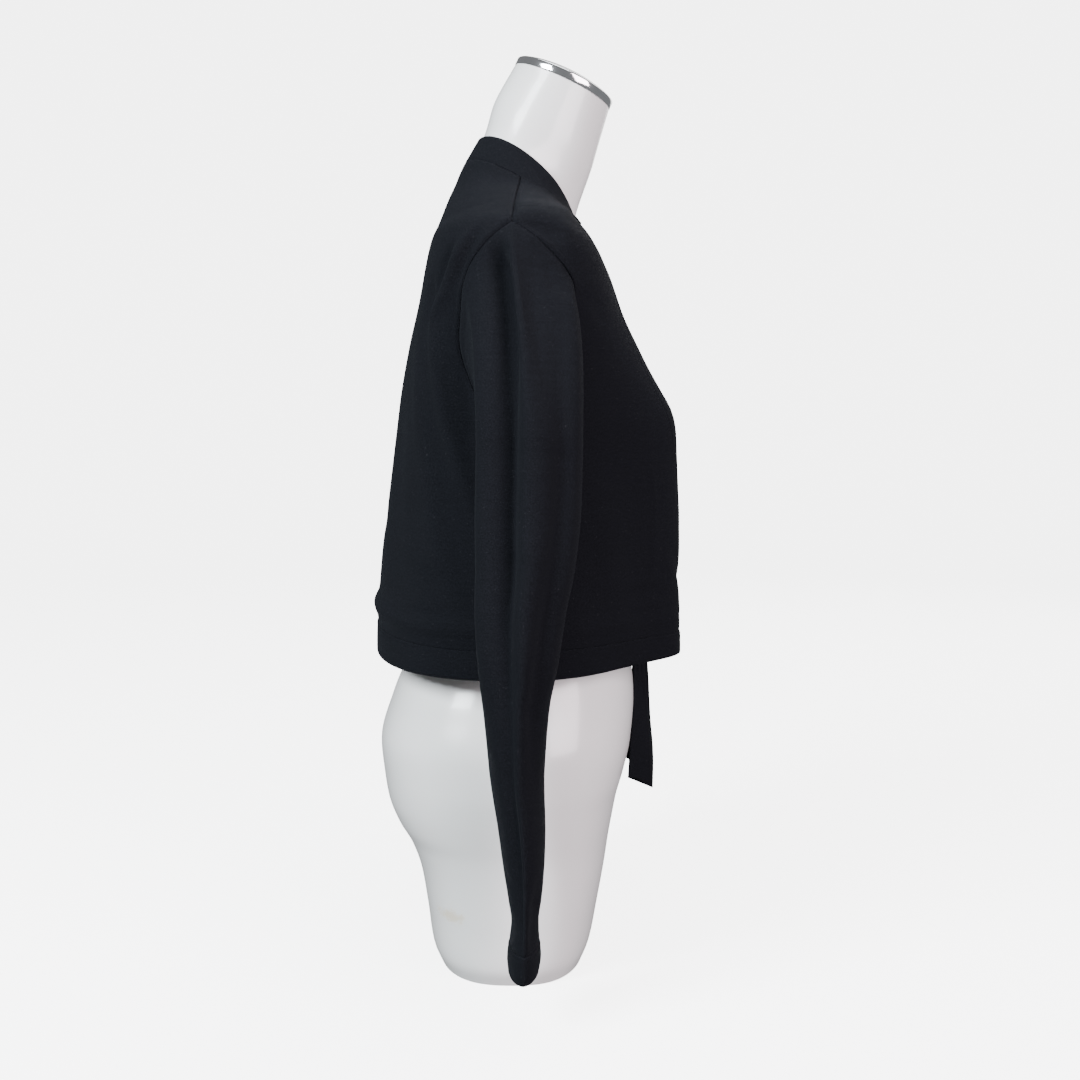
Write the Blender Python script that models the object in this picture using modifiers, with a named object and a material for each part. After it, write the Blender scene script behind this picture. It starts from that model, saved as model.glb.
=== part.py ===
# Cropped tie-front cardigan in fine jersey, worn by a limbless dress form.
# Metres, +Z up. The front faces -Y, the wearer's right is -X, the form's foot is z = 0.

import math
from collections import namedtuple

import bmesh
import bpy
import numpy as np
from mathutils import Vector

# Sizes of the cloth
WALL = 0.0020
BAND_WALL = 0.0028
BAND_RAISE = 0.0006
SEAM_GAP = 0.0003
BAND_WIDTH = 0.026
HEM_TOP = 0.943
ARMHOLE_TOP = 0.27
ARMHOLE_FOOT = 0.62

# Front fullness: two soft mounds where the fronts hang clear of the body
MOUND_X = 0.085
MOUND_WIDTH = 0.040

# Blousing of the panels over the hem band
BLOUSE_AT = 0.925
BLOUSE_WIDTH = 0.015
BLOUSE_BACK = 0.0050
BLOUSE_FRONT = 0.0022

# How far the form lies inside the outer face of the cloth, at the neck and over the shoulders
NECK_INSET = 0.0034
SHOULDER_INSET = 0.0050

# Half a seam's gap on a panel, and the panel's distance from the neck band, as shares of the gap
PANEL_SEAM = 0.85
BAND_SEAM = 1.6

# The hem band's top below the panels, and its narrow first row, as shares of the cloth's length
HEM_SEAM = 0.0010
HEM_FIRST_ROW = 0.004

# The bands' columns across their width
BAND_SHARES = (0.0, 0.45, 0.92, 1.0)

# Grid counts; SEAM_STRIP is the share of a panel given to the narrow strip along a seam
PANEL_ARM_STEPS = 12
FRONT_COLUMNS = 12
BACK_NECK_COLUMNS = 8
BACK_SHOULDER_COLUMNS = 6
SLEEVE_CAP_STEPS = 8
SLEEVE_LOW_STEPS = 11
FORM_COLUMNS = 30
SEAM_STRIP = 0.012

# A ring runs from the front centre (0 deg) by the side (90 deg) to the back centre (180 deg).
# power is the squareness; tilt is 1 where the ring is a leaning plane, 0 where it drapes.
Ring = namedtuple("Ring", "name v centre_y side_x side_z front_y front_z back_y back_z power tilt")

SHARED_RINGS = [
    Ring("neck_edge", 0.00, -0.0090, 0.0570, 0.7450, -0.0602, 0.682, 0.0350, 0.763, 2.0, 1.0),
    Ring("neck_seam", 0.06, -0.0060, 0.0710, 0.7160, -0.0678, 0.660, 0.0560, 0.725, 2.1, 0.6),
    Ring("mid_shoulder", 0.14, -0.0030, 0.1080, 0.6980, -0.0755, 0.634, 0.0655, 0.699, 2.2, 0.2),
    Ring("shoulder", 0.22, -0.0010, 0.1460, 0.6800, -0.0855, 0.612, 0.0738, 0.672, 2.35, 0.0),
    Ring("shoulder_tip", 0.27, 0.0, 0.1655, 0.6670, -0.0920, 0.598, 0.0795, 0.655, 2.4, 0.0),
    Ring("over_tip", 0.31, 0.0, 0.1705, 0.6510, -0.0978, 0.583, 0.0838, 0.635, 2.4, 0.0),
    Ring("armhole_upper", 0.38, 0.0, 0.1690, 0.6180, -0.1065, 0.555, 0.0900, 0.602, 2.4, 0.0),
]

CLOTH_RINGS = SHARED_RINGS + [
    Ring("armhole_middle", 0.47, 0.0, 0.1640, 0.5700, -0.1175, 0.523, 0.0990, 0.566, 2.4, 0.0),
    Ring("armhole_lower", 0.56, 0.0, 0.1605, 0.5220, -0.1285, 0.495, 0.1075, 0.520, 2.4, 0.0),
    Ring("underarm", 0.62, 0.0, 0.1605, 0.4900, -0.1315, 0.475, 0.1115, 0.487, 2.4, 0.0),
    Ring("ribs", 0.72, 0.0, 0.1660, 0.4300, -0.1300, 0.422, 0.1180, 0.431, 2.4, 0.0),
    Ring("waist", 0.84, 0.0, 0.1765, 0.3600, -0.1260, 0.357, 0.1255, 0.366, 2.4, 0.0),
    Ring("above_hem", 0.93, 0.0, 0.1850, 0.3080, -0.1235, 0.312, 0.1283, 0.318, 2.4, 0.0),
    Ring("hem", 1.00, 0.0, 0.1885, 0.2770, -0.1225, 0.289, 0.1288, 0.2835, 2.4, 0.0),
]

FORM_RINGS = [
    Ring("cap_seam", -0.14, -0.0450, 0.0495, 0.8140, -0.0900, 0.793, 0.0000, 0.835, 2.0, 1.0),
    Ring("neck_middle", -0.07, -0.0275, 0.0505, 0.7790, -0.0755, 0.743, 0.0185, 0.802, 2.0, 1.0),
] + SHARED_RINGS + [
    Ring("chest", 0.47, 0.0, 0.1595, 0.5700, -0.1140, 0.523, 0.0945, 0.567, 2.4, 0.0),
    Ring("bust", 0.60, 0.0, 0.1500, 0.4950, -0.1255, 0.480, 0.0930, 0.500, 2.4, 0.0),
    Ring("under_bust", 0.70, -0.008, 0.1340, 0.4370, -0.1080, 0.434, 0.0780, 0.440, 2.3, 0.0),
    Ring("form_waist", 0.80, -0.016, 0.1160, 0.3800, -0.0930, 0.380, 0.0590, 0.380, 2.2, 0.0),
    Ring("high_hip", 0.92, -0.006, 0.1380, 0.3050, -0.1050, 0.305, 0.0860, 0.305, 2.4, 0.0),
    Ring("belly", 1.02, 0.0, 0.1580, 0.2400, -0.1123, 0.240, 0.1145, 0.240, 2.6, 0.0),
    Ring("hip", 1.09, 0.0, 0.1665, 0.2000, -0.1092, 0.200, 0.1251, 0.200, 2.6, 0.0),
    Ring("seat", 1.14, 0.0, 0.1650, 0.1720, -0.1030, 0.172, 0.1222, 0.172, 2.6, 0.0),
    Ring("seat_foot", 1.18, 0.0, 0.1610, 0.1500, -0.0965, 0.150, 0.1185, 0.150, 2.6, 0.0),
    Ring("under_seat", 1.22, 0.0, 0.1560, 0.1300, -0.0925, 0.130, 0.1105, 0.130, 2.6, 0.0),
    Ring("thigh", 1.26, 0.0, 0.1510, 0.1110, -0.0890, 0.111, 0.0985, 0.111, 2.6, 0.0),
    Ring("low_thigh", 1.31, 0.0, 0.1465, 0.0850, -0.0850, 0.085, 0.0885, 0.085, 2.6, 0.0),
    Ring("above_foot", 1.37, 0.0, 0.1420, 0.0500, -0.0785, 0.050, 0.0820, 0.050, 2.6, 0.0),
    Ring("foot_round", 1.43, 0.0, 0.1380, 0.0160, -0.0715, 0.016, 0.0768, 0.016, 2.6, 0.0),
    Ring("foot", 1.46, 0.0, 0.1300, 0.0000, -0.0650, 0.000, 0.0700, 0.000, 2.6, 0.0),
]

Mound = namedtuple("Mound", "name z height")

CLOTH_MOUNDS = [
    Mound("hem", 0.270, 0.0360),
    Mound("waist", 0.380, 0.0325),
    Mound("bust", 0.475, 0.0278),
    Mound("over_bust", 0.497, 0.0272),
    Mound("upper", 0.526, 0.0200),
    Mound("chest", 0.555, 0.0120),
    Mound("high_chest", 0.600, 0.0022),
    Mound("shoulder", 0.640, 0.0),
]

FORM_MOUNDS = [
    Mound("waist", 0.380, 0.0),
    Mound("rise", 0.420, 0.0110),
    Mound("bust", 0.475, 0.0268),
    Mound("over_bust", 0.497, 0.0262),
    Mound("upper", 0.526, 0.0192),
    Mound("chest", 0.555, 0.0116),
    Mound("high_chest", 0.600, 0.0020),
    Mound("shoulder", 0.640, 0.0),
]

# Free edge of the neck band, from the nape round the neck and down one front
Edge = namedtuple("Edge", "name t alpha v")

NECK_EDGE = [
    Edge("nape", 0.00, 180.0, 0.000),
    Edge("back_quarter", 0.14, 135.0, 0.000),
    Edge("side", 0.28, 90.0, 0.000),
    Edge("front_turn", 0.35, 61.5, 0.001),
    Edge("leaves_neck", 0.40, 43.5, 0.010),
    Edge("neck_front", 0.45, 35.0, 0.050),
    Edge("chest_top", 0.53, 34.8, 0.185),
    Edge("chest", 0.61, 35.2, 0.320),
    Edge("chest_low", 0.68, 33.8, 0.440),
    Edge("bust_top", 0.75, 31.0, 0.560),
    Edge("bust", 0.79, 28.5, 0.620),
    Edge("under_bust", 0.85, 25.0, 0.720),
    Edge("waist", 0.92, 18.8, 0.840),
    Edge("low_waist", 0.955, 13.2, 0.900),
    Edge("hem_seam", 0.98, 8.4, 0.950),
    Edge("hem", 1.00, 6.2, 1.000),
]

# Armhole seen from the side: angle of its front and back edge at each level
Armhole = namedtuple("Armhole", "name v front_alpha back_alpha")

ARMHOLE = [
    Armhole("top", 0.27, 90.0, 90.0),
    Armhole("shoulder", 0.31, 81.5, 97.0),
    Armhole("upper", 0.38, 71.0, 105.5),
    Armhole("middle", 0.47, 71.0, 108.0),
    Armhole("lower", 0.56, 77.5, 102.5),
    Armhole("underarm", 0.62, 90.0, 90.0),
]

SIDE_SEAM_LEVELS = [0.655, 0.695, 0.74, 0.785, 0.83, 0.87, 0.90, 0.92, 0.934, 0.943]

# Keys of the neck edge at the rows of the front panel, shoulder seam to hem seam
FRONT_SEAM_KEYS = [0.332, 0.35, 0.37, 0.39, 0.415, 0.445, 0.48, 0.53, 0.59, 0.65, 0.72, 0.79,
                   0.815, 0.845, 0.87, 0.895, 0.915, 0.935, 0.95, 0.962, 0.971]

# Folds of the body cloth: a soft ridge (height > 0) or trough along a curve of angle against z
Fold = namedtuple("Fold", "name side z_top a_top a_middle z_low a_low width height")

BODY_FOLDS = [
    Fold("drag_high", -1, 0.668, 106.0, 115.0, 0.612, 124.0, 0.007, 0.0022),
    Fold("drag_middle", -1, 0.652, 121.0, 127.0, 0.592, 131.0, 0.008, 0.0026),
    Fold("drag_low", -1, 0.628, 136.0, 138.0, 0.575, 134.0, 0.009, 0.0020),
    Fold("sleeve_fall", -1, 0.596, 130.0, 123.0, 0.425, 108.0, 0.012, 0.0042),
    Fold("sleeve_fall_trough", -1, 0.585, 139.0, 131.0, 0.430, 117.0, 0.011, -0.0020),
    Fold("long_fall", -1, 0.565, 147.0, 134.0, 0.345, 117.0, 0.013, 0.0030),
    Fold("long_trough", -1, 0.520, 152.0, 143.0, 0.340, 131.0, 0.018, -0.0022),
    Fold("drag_high", 1, 0.664, 108.0, 114.0, 0.618, 122.0, 0.008, 0.0020),
    Fold("drag_middle", 1, 0.655, 119.0, 126.0, 0.600, 133.0, 0.008, 0.0022),
    Fold("sleeve_fall", 1, 0.604, 128.0, 121.0, 0.440, 109.0, 0.013, 0.0038),
    Fold("long_fall", 1, 0.572, 145.0, 136.0, 0.360, 121.0, 0.014, 0.0028),
    Fold("long_trough", 1, 0.505, 154.0, 146.0, 0.335, 134.0, 0.018, -0.0020),
    Fold("centre_fall", 1, 0.470, 171.0, 173.0, 0.330, 172.0, 0.020, 0.0016),
    Fold("knot_pull_low", -1, 0.318, 33.0, 23.0, 0.283, 15.0, 0.009, -0.0030),
    Fold("knot_pull_middle", -1, 0.372, 38.0, 30.0, 0.300, 19.0, 0.009, -0.0026),
    Fold("knot_pull_low", 1, 0.322, 35.0, 24.0, 0.284, 15.0, 0.009, -0.0028),
    Fold("knot_pull_middle", 1, 0.365, 37.0, 29.0, 0.298, 19.0, 0.010, -0.0026),
    Fold("front_hang", -1, 0.430, 62.0, 60.0, 0.300, 56.0, 0.016, 0.0022),
    Fold("front_hang", 1, 0.445, 60.0, 61.0, 0.305, 58.0, 0.016, 0.0024),
    Fold("side_hang", -1, 0.440, 84.0, 80.0, 0.300, 78.0, 0.016, -0.0020),
    Fold("side_hang", 1, 0.450, 82.0, 81.0, 0.310, 77.0, 0.016, -0.0022),
]

# Sleeve sections below the cap; power under 2 gives the flattened cloth its edges
Section = namedtuple("Section", "name z centre_x centre_y half_x half_y power")

SLEEVE_SECTIONS = [
    Section("cuff_edge", 0.0475, 0.2230, -0.0105, 0.0390, 0.0118, 1.8),
    Section("cuff_middle", 0.0600, 0.2232, -0.0110, 0.0398, 0.0130, 1.8),
    Section("cuff_seam", 0.0715, 0.2235, -0.0112, 0.0402, 0.0122, 1.8),
    Section("over_cuff", 0.0890, 0.2240, -0.0118, 0.0404, 0.0112, 1.75),
    Section("wrist", 0.1070, 0.2250, -0.0117, 0.0406, 0.0136, 1.75),
    Section("low_forearm", 0.1330, 0.2262, -0.0108, 0.0408, 0.0168, 1.75),
    Section("forearm", 0.1590, 0.2275, -0.0095, 0.0410, 0.0190, 1.75),
    Section("high_forearm", 0.2150, 0.2315, -0.0052, 0.0415, 0.0228, 1.8),
    Section("under_hem", 0.2620, 0.2352, -0.0048, 0.0415, 0.0268, 1.85),
    Section("hem_level", 0.3000, 0.2360, -0.0062, 0.0418, 0.0328, 1.95),
    Section("elbow", 0.3390, 0.2310, -0.0080, 0.0428, 0.0372, 2.05),
    Section("over_elbow", 0.3750, 0.2240, -0.0118, 0.0435, 0.0408, 2.1),
    Section("upper_arm", 0.4250, 0.2135, -0.0142, 0.0430, 0.0440, 2.2),
    Section("arm_head", 0.4700, 0.2060, -0.0152, 0.0415, 0.0445, 2.2),
]

ARM_HEAD_Z = 0.470
CUFF_TOP_Z = 0.0715
CUFF_FOOT_Z = 0.0475

# Sleeve cap: middle of the armhole, pull of its two ends, and how far the back turns in
ARMHOLE_MIDDLE = (0.164, -0.003, 0.578)
CAP_LEAVE_PULL = 0.55
CAP_ARRIVE_PULL = 0.85
BACK_TUCK = 0.75

# Folds along the sleeve: theta is 0 outward, 90 to the front, 180 inward, 270 to the back
Crease = namedtuple("Crease", "name side z_top t_top z_low t_low width height")

SLEEVE_CREASES = [
    Crease("back_trough", -1, 0.690, -24.0, 0.215, -30.0, 11.0, -0.0105),
    Crease("back_ridge", -1, 0.600, -58.0, 0.240, -60.0, 13.0, 0.0030),
    Crease("middle_ridge", -1, 0.640, 4.0, 0.200, -4.0, 14.0, 0.0030),
    Crease("front_trough", -1, 0.520, 33.0, 0.225, 30.0, 12.0, -0.0055),
    Crease("inner_trough", -1, 0.440, 150.0, 0.190, 152.0, 13.0, -0.0045),
    Crease("wrist_dent", -1, 0.130, 48.0, 0.072, 40.0, 16.0, -0.0022),
    Crease("back_trough", 1, 0.685, -27.0, 0.230, -33.0, 12.0, -0.0095),
    Crease("middle_ridge", 1, 0.630, 3.0, 0.215, -2.0, 14.0, 0.0028),
    Crease("front_trough", 1, 0.545, 36.0, 0.250, 31.0, 12.0, -0.0060),
    Crease("inner_trough", 1, 0.430, 148.0, 0.200, 154.0, 13.0, -0.0040),
    Crease("wrist_dent", 1, 0.140, 44.0, 0.075, 42.0, 15.0, -0.0020),
]

# Tie end: the strip's rear and front edge at each level, for one side
Strip = namedtuple("Strip", "name drop rear_x rear_y front_x front_y")

TIE_STRIP = [
    Strip("knot", 0.000, 0.0095, -0.1155, 0.0020, -0.1255),
    Strip("neck", 0.100, 0.0105, -0.1155, 0.0020, -0.1262),
    Strip("upper", 0.300, 0.0140, -0.1152, 0.0020, -0.1285),
    Strip("middle", 0.550, 0.0185, -0.1135, 0.0020, -0.1302),
    Strip("lower", 0.800, 0.0235, -0.1105, 0.0020, -0.1322),
    Strip("end", 1.000, 0.0260, -0.1085, 0.0020, -0.1318),
]
TIE_TOP = 0.2745
TIE_REAR_END = {-1: 0.158, 1: 0.166}
TIE_FRONT_END = {-1: 0.143, 1: 0.150}
TIE_HOLLOW = 0.003
TIE_BULGE = 0.0012

KNOT_CENTRE = (0.0, -0.1212, 0.2855)
KNOT_HALF = (0.0148, 0.0098, 0.0110)
KNOT_WRAP = 0.07

# Neck cap: radius against height above the neck's rim
CAP_CENTRE = (0.0, -0.0450, 0.8140)
CAP_TILT = math.radians(25.0)
CAP_PROFILE = [(0.0180, 0.0154), (0.0340, 0.0136), (0.0440, 0.0110), (0.0490, 0.0084),
               (0.0500, 0.0074), (0.0500, 0.0010), (0.0494, 0.0003)]
CAP_TOP = 0.0160
CAP_SEGMENTS = 40


class Track:
    """Smooth interpolation without overshoot down a table whose second column is the key."""

    def __init__(self, rows):
        ordered = sorted(rows, key=lambda row: row[1])
        self.kind = type(ordered[0])
        table = np.array([row[1:] for row in ordered], dtype=float)
        self.keys = table[:, 0]
        self.values = table[:, 1:]
        step = np.diff(self.keys)[:, None]
        rise = np.diff(self.values, axis=0) / step
        self.slopes = np.zeros_like(self.values)
        self.slopes[0] = rise[0]
        self.slopes[-1] = rise[-1]
        before = rise[:-1]
        after = rise[1:]
        same = before * after > 0.0
        near = 2.0 * step[1:] + step[:-1]
        far = step[1:] + 2.0 * step[:-1]
        safe_before = np.where(same, before, 1.0)
        safe_after = np.where(same, after, 1.0)
        mean = (near + far) / (near / safe_before + far / safe_after)
        self.slopes[1:-1] = np.where(same, mean, 0.0)
        self.known = {}

    def at(self, key):
        key = min(max(key, self.keys[0]), self.keys[-1])
        if key not in self.known:
            last = len(self.keys) - 2
            low = min(int(np.searchsorted(self.keys, key, side="right")) - 1, last)
            width = self.keys[low + 1] - self.keys[low]
            f = (key - self.keys[low]) / width
            start = self.values[low] * (2 * f ** 3 - 3 * f ** 2 + 1)
            lean = self.slopes[low] * width * (f ** 3 - 2 * f ** 2 + f)
            end = self.values[low + 1] * (3 * f ** 2 - 2 * f ** 3)
            settle = self.slopes[low + 1] * width * (f ** 3 - f ** 2)
            self.known[key] = self.kind("", key, *(start + lean + end + settle))
        return self.known[key]


CLOTH = Track(CLOTH_RINGS)
FORM = Track(FORM_RINGS)
CLOTH_FULLNESS = Track(CLOTH_MOUNDS)
FORM_FULLNESS = Track(FORM_MOUNDS)
EDGE = Track(NECK_EDGE)
ARM = Track(ARMHOLE)
SLEEVE = Track(SLEEVE_SECTIONS)
TIE = Track(TIE_STRIP)


def smooth(value):
    value = min(max(value, 0.0), 1.0)
    return value * value * (3.0 - 2.0 * value)


def ring_point(rings, fullness, side, alpha, v):
    """Point of a ring table: side is -1 or 1, alpha in degrees from the front centre."""
    ring = rings.at(v)
    cosine = math.cos(math.radians(alpha))
    sine = math.sin(math.radians(alpha))
    depth = ring.centre_y - ring.front_y if cosine > 0.0 else ring.back_y - ring.centre_y
    across = (abs(sine) / ring.side_x) ** ring.power
    along = (abs(cosine) / depth) ** ring.power
    reach = (across + along) ** (-1.0 / ring.power)
    x = side * reach * sine
    y = ring.centre_y - reach * cosine
    lean = (ring.front_z - ring.back_z) / 2.0
    lean *= cosine * (ring.tilt + (1.0 - ring.tilt) * abs(cosine))
    sag = ((ring.front_z + ring.back_z) / 2.0 - ring.side_z) * cosine ** 2
    z = ring.side_z + lean + sag
    if cosine > 0.0:
        spread = math.exp(-((abs(x) - MOUND_X) / MOUND_WIDTH) ** 2)
        y -= fullness.at(z).height * spread * smooth(cosine * 4.0)
    return np.array([x, y, z])


def surface_frame(rings, fullness, side, alpha, v):
    """Point, step per degree, step per unit of v, and the outward normal."""
    turn = 0.5
    drop = 0.004
    point = ring_point(rings, fullness, side, alpha, v)
    ahead = ring_point(rings, fullness, side, alpha + turn, v)
    behind = ring_point(rings, fullness, side, alpha - turn, v)
    inside = min(max(v, rings.keys[0]), rings.keys[-1])
    low = max(inside - drop, rings.keys[0])
    high = min(inside + drop, rings.keys[-1])
    below = ring_point(rings, fullness, side, alpha, high)
    above = ring_point(rings, fullness, side, alpha, low)
    per_degree = (ahead - behind) / (2.0 * turn)
    per_v = (below - above) / (high - low)
    normal = side * np.cross(per_v, per_degree)
    normal /= np.linalg.norm(normal)
    return point, per_degree, per_v, normal


def fold_height(side, alpha, point):
    """Sum of the body folds at one point."""
    total = 0.0
    radius = math.hypot(point[0], point[1])
    for fold in BODY_FOLDS:
        if fold.side != side:
            continue
        span = fold.z_top - fold.z_low
        f = (fold.z_top - point[2]) / span
        if f < -0.25 or f > 1.25:
            continue
        middle = 4.0 * f * (1.0 - f)
        straight = fold.a_top + (fold.a_low - fold.a_top) * f
        bend = fold.a_middle - (fold.a_top + fold.a_low) / 2.0
        line = straight + bend * middle
        off = math.radians(alpha - line) * radius / fold.width
        ends = smooth((f + 0.25) / 0.5) * smooth((1.25 - f) / 0.5)
        total += fold.height * math.exp(-off * off) * ends
    return total


def cloth_point(side, alpha, v, out=0.0, blouse=0.0):
    """Outer face of the body cloth, moved out along its normal."""
    if alpha > 180.0:
        side, alpha = -side, 360.0 - alpha
    point, _, _, normal = surface_frame(CLOTH, CLOTH_FULLNESS, side, alpha, v)
    height = out + fold_height(side, alpha, point)
    if blouse:
        bump = math.exp(-((v - BLOUSE_AT) / BLOUSE_WIDTH) ** 2)
        rear = smooth((alpha - 60.0) / 110.0)
        height += blouse * bump * (BLOUSE_FRONT + (BLOUSE_BACK - BLOUSE_FRONT) * rear)
    return point + normal * height


def walk(side, alpha, v, direction, distance):
    """Surface coordinates reached by going a distance along the cloth in one direction."""
    steps = max(1, int(math.ceil(distance / 0.004)))
    for _ in range(steps):
        _, per_degree, per_v, _ = surface_frame(CLOTH, CLOTH_FULLNESS, side, alpha, v)
        basis = np.stack([per_degree, per_v], axis=1)
        move = np.linalg.lstsq(basis, direction * distance / steps, rcond=None)[0]
        alpha += move[0]
        v += move[1]
    return alpha, v


def band_place(side, t, distance):
    """Place in the neck band, a distance from its free edge, in surface coordinates."""
    edge = EDGE.at(t)
    if distance <= 0.0:
        return edge.alpha, edge.v
    ahead = EDGE.at(min(t + 0.004, 1.0))
    behind = EDGE.at(max(t - 0.004, 0.0))
    tip = ring_point(CLOTH, CLOTH_FULLNESS, side, ahead.alpha, ahead.v)
    tail = ring_point(CLOTH, CLOTH_FULLNESS, side, behind.alpha, behind.v)
    _, per_degree, _, normal = surface_frame(CLOTH, CLOTH_FULLNESS, side, edge.alpha, edge.v)
    across = side * np.cross(normal, tip - tail)
    across /= np.linalg.norm(across)
    alpha, v = walk(side, edge.alpha, edge.v, across, distance)
    level_alpha = edge.alpha + distance / np.linalg.norm(per_degree)
    level = smooth((edge.v - 0.84) / 0.09)
    return alpha + (level_alpha - alpha) * level, v + (edge.v - v) * level


def seam_place(side, t):
    """Edge of a panel beside the neck band, in surface coordinates."""
    return band_place(side, t, BAND_WIDTH + BAND_SEAM * SEAM_GAP)


def seam_half_gap(side, alpha, v):
    """Half a seam's gap as degrees round the ring."""
    _, per_degree, _, _ = surface_frame(CLOTH, CLOTH_FULLNESS, side, alpha, v)
    return PANEL_SEAM * SEAM_GAP / np.linalg.norm(per_degree)


def finish(bm, name, material, home):
    mesh = bpy.data.meshes.new(name)
    bm.to_mesh(mesh)
    bm.free()
    mesh.materials.append(material)
    mesh.shade_smooth()
    mesh.set_sharp_from_angle(angle=math.radians(40.0))
    obj = bpy.data.objects.new(name, mesh)
    home.objects.link(obj)
    return obj


def bent_grid(points, flip, closed):
    """Grid primitive whose points are moved to a table of places, row by row from the top."""
    rows = len(points)
    if closed:
        points = [list(row) + [row[0]] for row in points]
    columns = len(points[0])
    bm = bmesh.new()
    bmesh.ops.create_grid(bm, x_segments=columns - 1, y_segments=rows - 1, size=1.0)
    for vert in bm.verts:
        j = round((vert.co.x + 1.0) / 2.0 * (columns - 1))
        i = round((1.0 - vert.co.y) / 2.0 * (rows - 1))
        vert.co = Vector(points[i][j])
    if closed:
        bmesh.ops.remove_doubles(bm, verts=bm.verts, dist=1e-6)
    if flip:
        bmesh.ops.reverse_faces(bm, faces=bm.faces)
    return bm


def cloth_wall(name, points, flip, closed, thickness, material, home):
    """Open surface through the outer points, thickened inward."""
    obj = finish(bent_grid(points, flip, closed), name, material, home)
    solid = obj.modifiers.new("wall", "SOLIDIFY")
    solid.thickness = thickness
    solid.offset = -1.0
    solid.use_rim = True
    return obj


def shares(columns):
    """Even shares of a span with a narrow strip added inside each end."""
    even = [j / columns for j in range(1, columns)]
    return [0.0, SEAM_STRIP] + even + [1.0 - SEAM_STRIP, 1.0]


def coons(top, foot, left, right, across, down):
    """Fill four boundary curves given in surface coordinates, at their shares."""
    top = np.array(top)
    foot = np.array(foot)
    left = np.array(left)
    right = np.array(right)
    grid = []
    for i, t in enumerate(down):
        row = []
        for j, s in enumerate(across):
            ruled = (1 - t) * top[j] + t * foot[j] + (1 - s) * left[i] + s * right[i]
            corners = (1 - s) * (1 - t) * top[0] + s * (1 - t) * top[-1]
            corners = corners + (1 - s) * t * foot[0] + s * t * foot[-1]
            row.append(ruled - corners)
        grid.append(row)
    return grid


def outer_levels():
    """Levels of the panel rows down the armhole and the side seam, with a narrow first row."""
    drop = (ARMHOLE_FOOT - ARMHOLE_TOP) / PANEL_ARM_STEPS
    arm = [ARMHOLE_TOP + drop * i for i in range(PANEL_ARM_STEPS + 1)]
    return [arm[0], arm[0] + 0.1 * drop] + arm[1:] + SIDE_SEAM_LEVELS


def outer_edge(side, front):
    """Armhole and side seam of a panel from the shoulder tip down to the hem seam."""
    places = []
    for v in outer_levels():
        half = seam_half_gap(side, 90.0, v)
        straight = 90.0 - half if front else 90.0 + half
        arm = ARM.at(v)
        hollow = arm.front_alpha if front else arm.back_alpha
        if v >= ARMHOLE_FOOT:
            hollow = 90.0
        alpha = min(straight, hollow) if front else max(straight, hollow)
        places.append((alpha, v))
    return places


def front_keys():
    """Keys of the neck edge at the panel rows, with a narrow first row."""
    first = T_SHOULDER + 0.1 * (FRONT_SEAM_KEYS[0] - T_SHOULDER)
    return [T_SHOULDER, first] + FRONT_SEAM_KEYS + [T_HEM_SEAM]


def panel_places(top, left, right, across):
    """A panel in surface coordinates: curved rows down to the underarm, level ones below it."""
    arm_rows = PANEL_ARM_STEPS + 2
    down = [(v - ARMHOLE_TOP) / (ARMHOLE_FOOT - ARMHOLE_TOP) for _, v in right[:arm_rows]]
    ruled = []
    for i in range(arm_rows - 1, len(left)):
        start = np.array(left[i])
        step = np.array(right[i]) - start
        ruled.append([start + step * s for s in across])
    return coons(top, ruled[0], left[:arm_rows], right[:arm_rows], across, down)[:-1] + ruled


def front_panel(side, name, material, home):
    right = outer_edge(side, True)
    left = [seam_place(side, t) for t in front_keys()]
    left[0] = (90.0 - seam_half_gap(side, 90.0, left[0][1]), left[0][1])
    across = shares(FRONT_COLUMNS)
    top = []
    for s in across:
        v = left[0][1] + (ARMHOLE_TOP - left[0][1]) * s
        top.append((90.0 - seam_half_gap(side, 90.0, v), v))
    grid = []
    for row in panel_places(top, left, right, across):
        line = []
        for s, (alpha, v) in zip(across, row):
            line.append(cloth_point(side, alpha, v, 0.0, smooth(s / 0.25)))
        grid.append(line)
    return cloth_wall(name, grid, side < 0, False, WALL, material, home)


def back_panel(name, material, home):
    halves = {}
    neck_shares = np.linspace(0.0, 1.0, BACK_NECK_COLUMNS + 1)
    tip_shares = shares(BACK_SHOULDER_COLUMNS)[2:]
    split = BACK_NECK_COLUMNS / (BACK_NECK_COLUMNS + BACK_SHOULDER_COLUMNS)
    across = [split * s for s in neck_shares] + [split + (1.0 - split) * s for s in tip_shares]
    for side in (-1, 1):
        right = outer_edge(side, False)
        top = [seam_place(side, T_SHOULDER * s) for s in neck_shares]
        start = top[-1][1]
        top[0] = (180.0, top[0][1])
        top[-1] = (90.0 + seam_half_gap(side, 90.0, start), start)
        for s in tip_shares:
            v = start + (ARMHOLE_TOP - start) * s
            top.append((90.0 + seam_half_gap(side, 90.0, v), v))
        left = []
        for _, v in right:
            share = min((v - ARMHOLE_TOP) / (ARMHOLE_FOOT - ARMHOLE_TOP), 1.0)
            left.append((180.0, v - (ARMHOLE_TOP - top[0][1]) * (1.0 - share)))
        halves[side] = panel_places(top, left, right, across)
    grid = []
    for right_row, left_row in zip(halves[-1], halves[1]):
        line = [cloth_point(-1, a, v, 0.0, 1.0) for a, v in right_row[::-1]]
        line += [cloth_point(1, a, v, 0.0, 1.0) for a, v in left_row[1:]]
        grid.append(line)
    return cloth_wall(name, grid, True, False, WALL, material, home)


def band_keys():
    """Keys of the neck band's rows on one half, shared with the panels and the hem band."""
    back = [T_SHOULDER * j / BACK_NECK_COLUMNS for j in range(BACK_NECK_COLUMNS)]
    return back + front_keys()[:-1] + [edge_key_at(v) for v in hem_levels()]


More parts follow.
